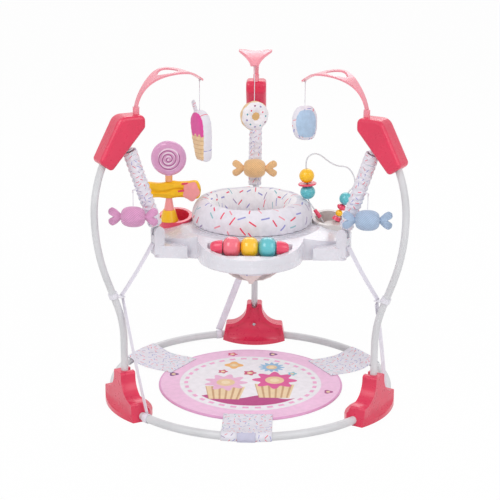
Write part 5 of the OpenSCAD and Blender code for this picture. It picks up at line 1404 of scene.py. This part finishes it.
    @staticmethod
    def tab(seed):
        """Cloth tab: a band that leaves the mat, dips, goes over and round the floor ring's tube and back
        under, as a line of radius and height carried across the tab's width; its thickness closes it."""
        w = np.radians(np.linspace(118, -205, 44))
        loop = np.stack([RING_R + TAB_LOOP_R * np.cos(w), RING_Z + TAB_LOOP_R * np.sin(w)], -1)
        line = np.concatenate([TAB_LEAD, loop[2:]])
        run = np.concatenate([[0], np.cumsum(np.linalg.norm(np.diff(line, axis=0), axis=1))])
        s = np.linspace(0, run[-1], 110)[:, None]
        r, z = (np.interp(s, run, line[:, k]) for k in (0, 1))
        y = np.linspace(-TAB_HALF, TAB_HALF, 34)[None]
        bow = (RING_R - np.sqrt(RING_R**2 - y**2)) * np.clip((r - 262) / 100, 0, 1)
        free = np.clip((s - 40) / 30, 0, 1) * np.clip((run[-1] - 70 - s) / 30, 0, 1)
        lift = 0.9 * noise_wave(s / 17, y / 21, seed) * free
        top = np.stack([r - bow, y + 0 * r, z + np.maximum(lift, -0.5)], -1)
        t = np.gradient(line, axis=0)
        nr, nz = (np.interp(s, run, k) for k in (-t[:, 1], t[:, 0]))
        length = np.hypot(nr, nz)
        n = np.stack([-nr / length, 0 * nr, -nz / length], -1)
        under = top + TAB_T * n
        both = np.concatenate([top, under[:, ::-1]], 1)
        middle = (top + under) / 2
        ends = [np.concatenate([middle[k], middle[k, ::-1]])[None] for k in (0, -1)]
        return np.concatenate([ends[0], both, ends[1]], 0), float(run[-1])

    def patch(self):
        """Fastening strip folded round the front of the tube over the tab: an arc of a thin band."""
        w = np.radians(np.linspace(70, -100, 26))[:, None]
        y = np.linspace(-PATCH_HALF, PATCH_HALF, 14)[None]
        bow = RING_R - np.sqrt(RING_R**2 - y**2)
        wall = [
            np.stack(np.broadcast_arrays(RING_R - bow + k * np.cos(w), y, RING_Z + k * np.sin(w)), -1)
            for k in PATCH_WALL
        ]
        both = np.concatenate([wall[1], wall[0][:, ::-1]], 1)
        ends = [both[k : k + 1] * 0.5 + both[k : k + 1, ::-1] * 0.5 for k in (0, -1)]
        P = np.concatenate([ends[0], both, ends[1]], 0)
        P[..., 2] = np.maximum(P[..., 2], 0.3)
        lilac = woven("Fastening strip", srgb(206, 204, 226), 0.0014, 0.3)
        piece = surface("mat_tab_fastening", turned(P, TAB_STATIONS["front"]), [lilac], wrap_v=True)
        settle(piece, "frame", "print_cloth")


class JUMPER_PT_panel(bpy.types.Panel):
    """The jumper's pieces and their sizes"""

    bl_idname = "JUMPER_PT_panel"
    bl_label = "Baby jumper"
    bl_space_type = "VIEW_3D"
    bl_region_type = "UI"
    bl_category = "Jumper"

    def draw(self, context):
        for group in sizes_of(context):
            for key in group.__annotations__:
                self.layout.prop(group, key)
        for step in STEPS:
            self.layout.operator(step.bl_idname)


STEPS = (
    JUMPER_OT_stage, JUMPER_OT_cords, JUMPER_OT_frame, JUMPER_OT_tray,
    JUMPER_OT_beads, JUMPER_OT_lollipop, JUMPER_OT_hanging_toys, JUMPER_OT_sweets,
    JUMPER_OT_springs, JUMPER_OT_seat, JUMPER_OT_straps, JUMPER_OT_mat,
)
CLASSES = (JumperSizes, JumperTints, *STEPS, JUMPER_PT_panel)


def register():
    for cls in CLASSES:
        bpy.utils.register_class(cls)
    bpy.types.Scene.jumper_sizes = bpy.props.PointerProperty(type=JumperSizes)
    bpy.types.Scene.jumper_tints = bpy.props.PointerProperty(type=JumperTints)


def unregister():
    del bpy.types.Scene.jumper_tints
    del bpy.types.Scene.jumper_sizes
    for cls in reversed(CLASSES):
        bpy.utils.unregister_class(cls)


def main():
    register()
    for step in STEPS:
        done = getattr(bpy.ops.jumper, step.bl_idname.split(".")[1])()
        if done != {"FINISHED"}:
            raise RuntimeError(f"{step.bl_label} did not finish")


if __name__ == "__main__":
    main()
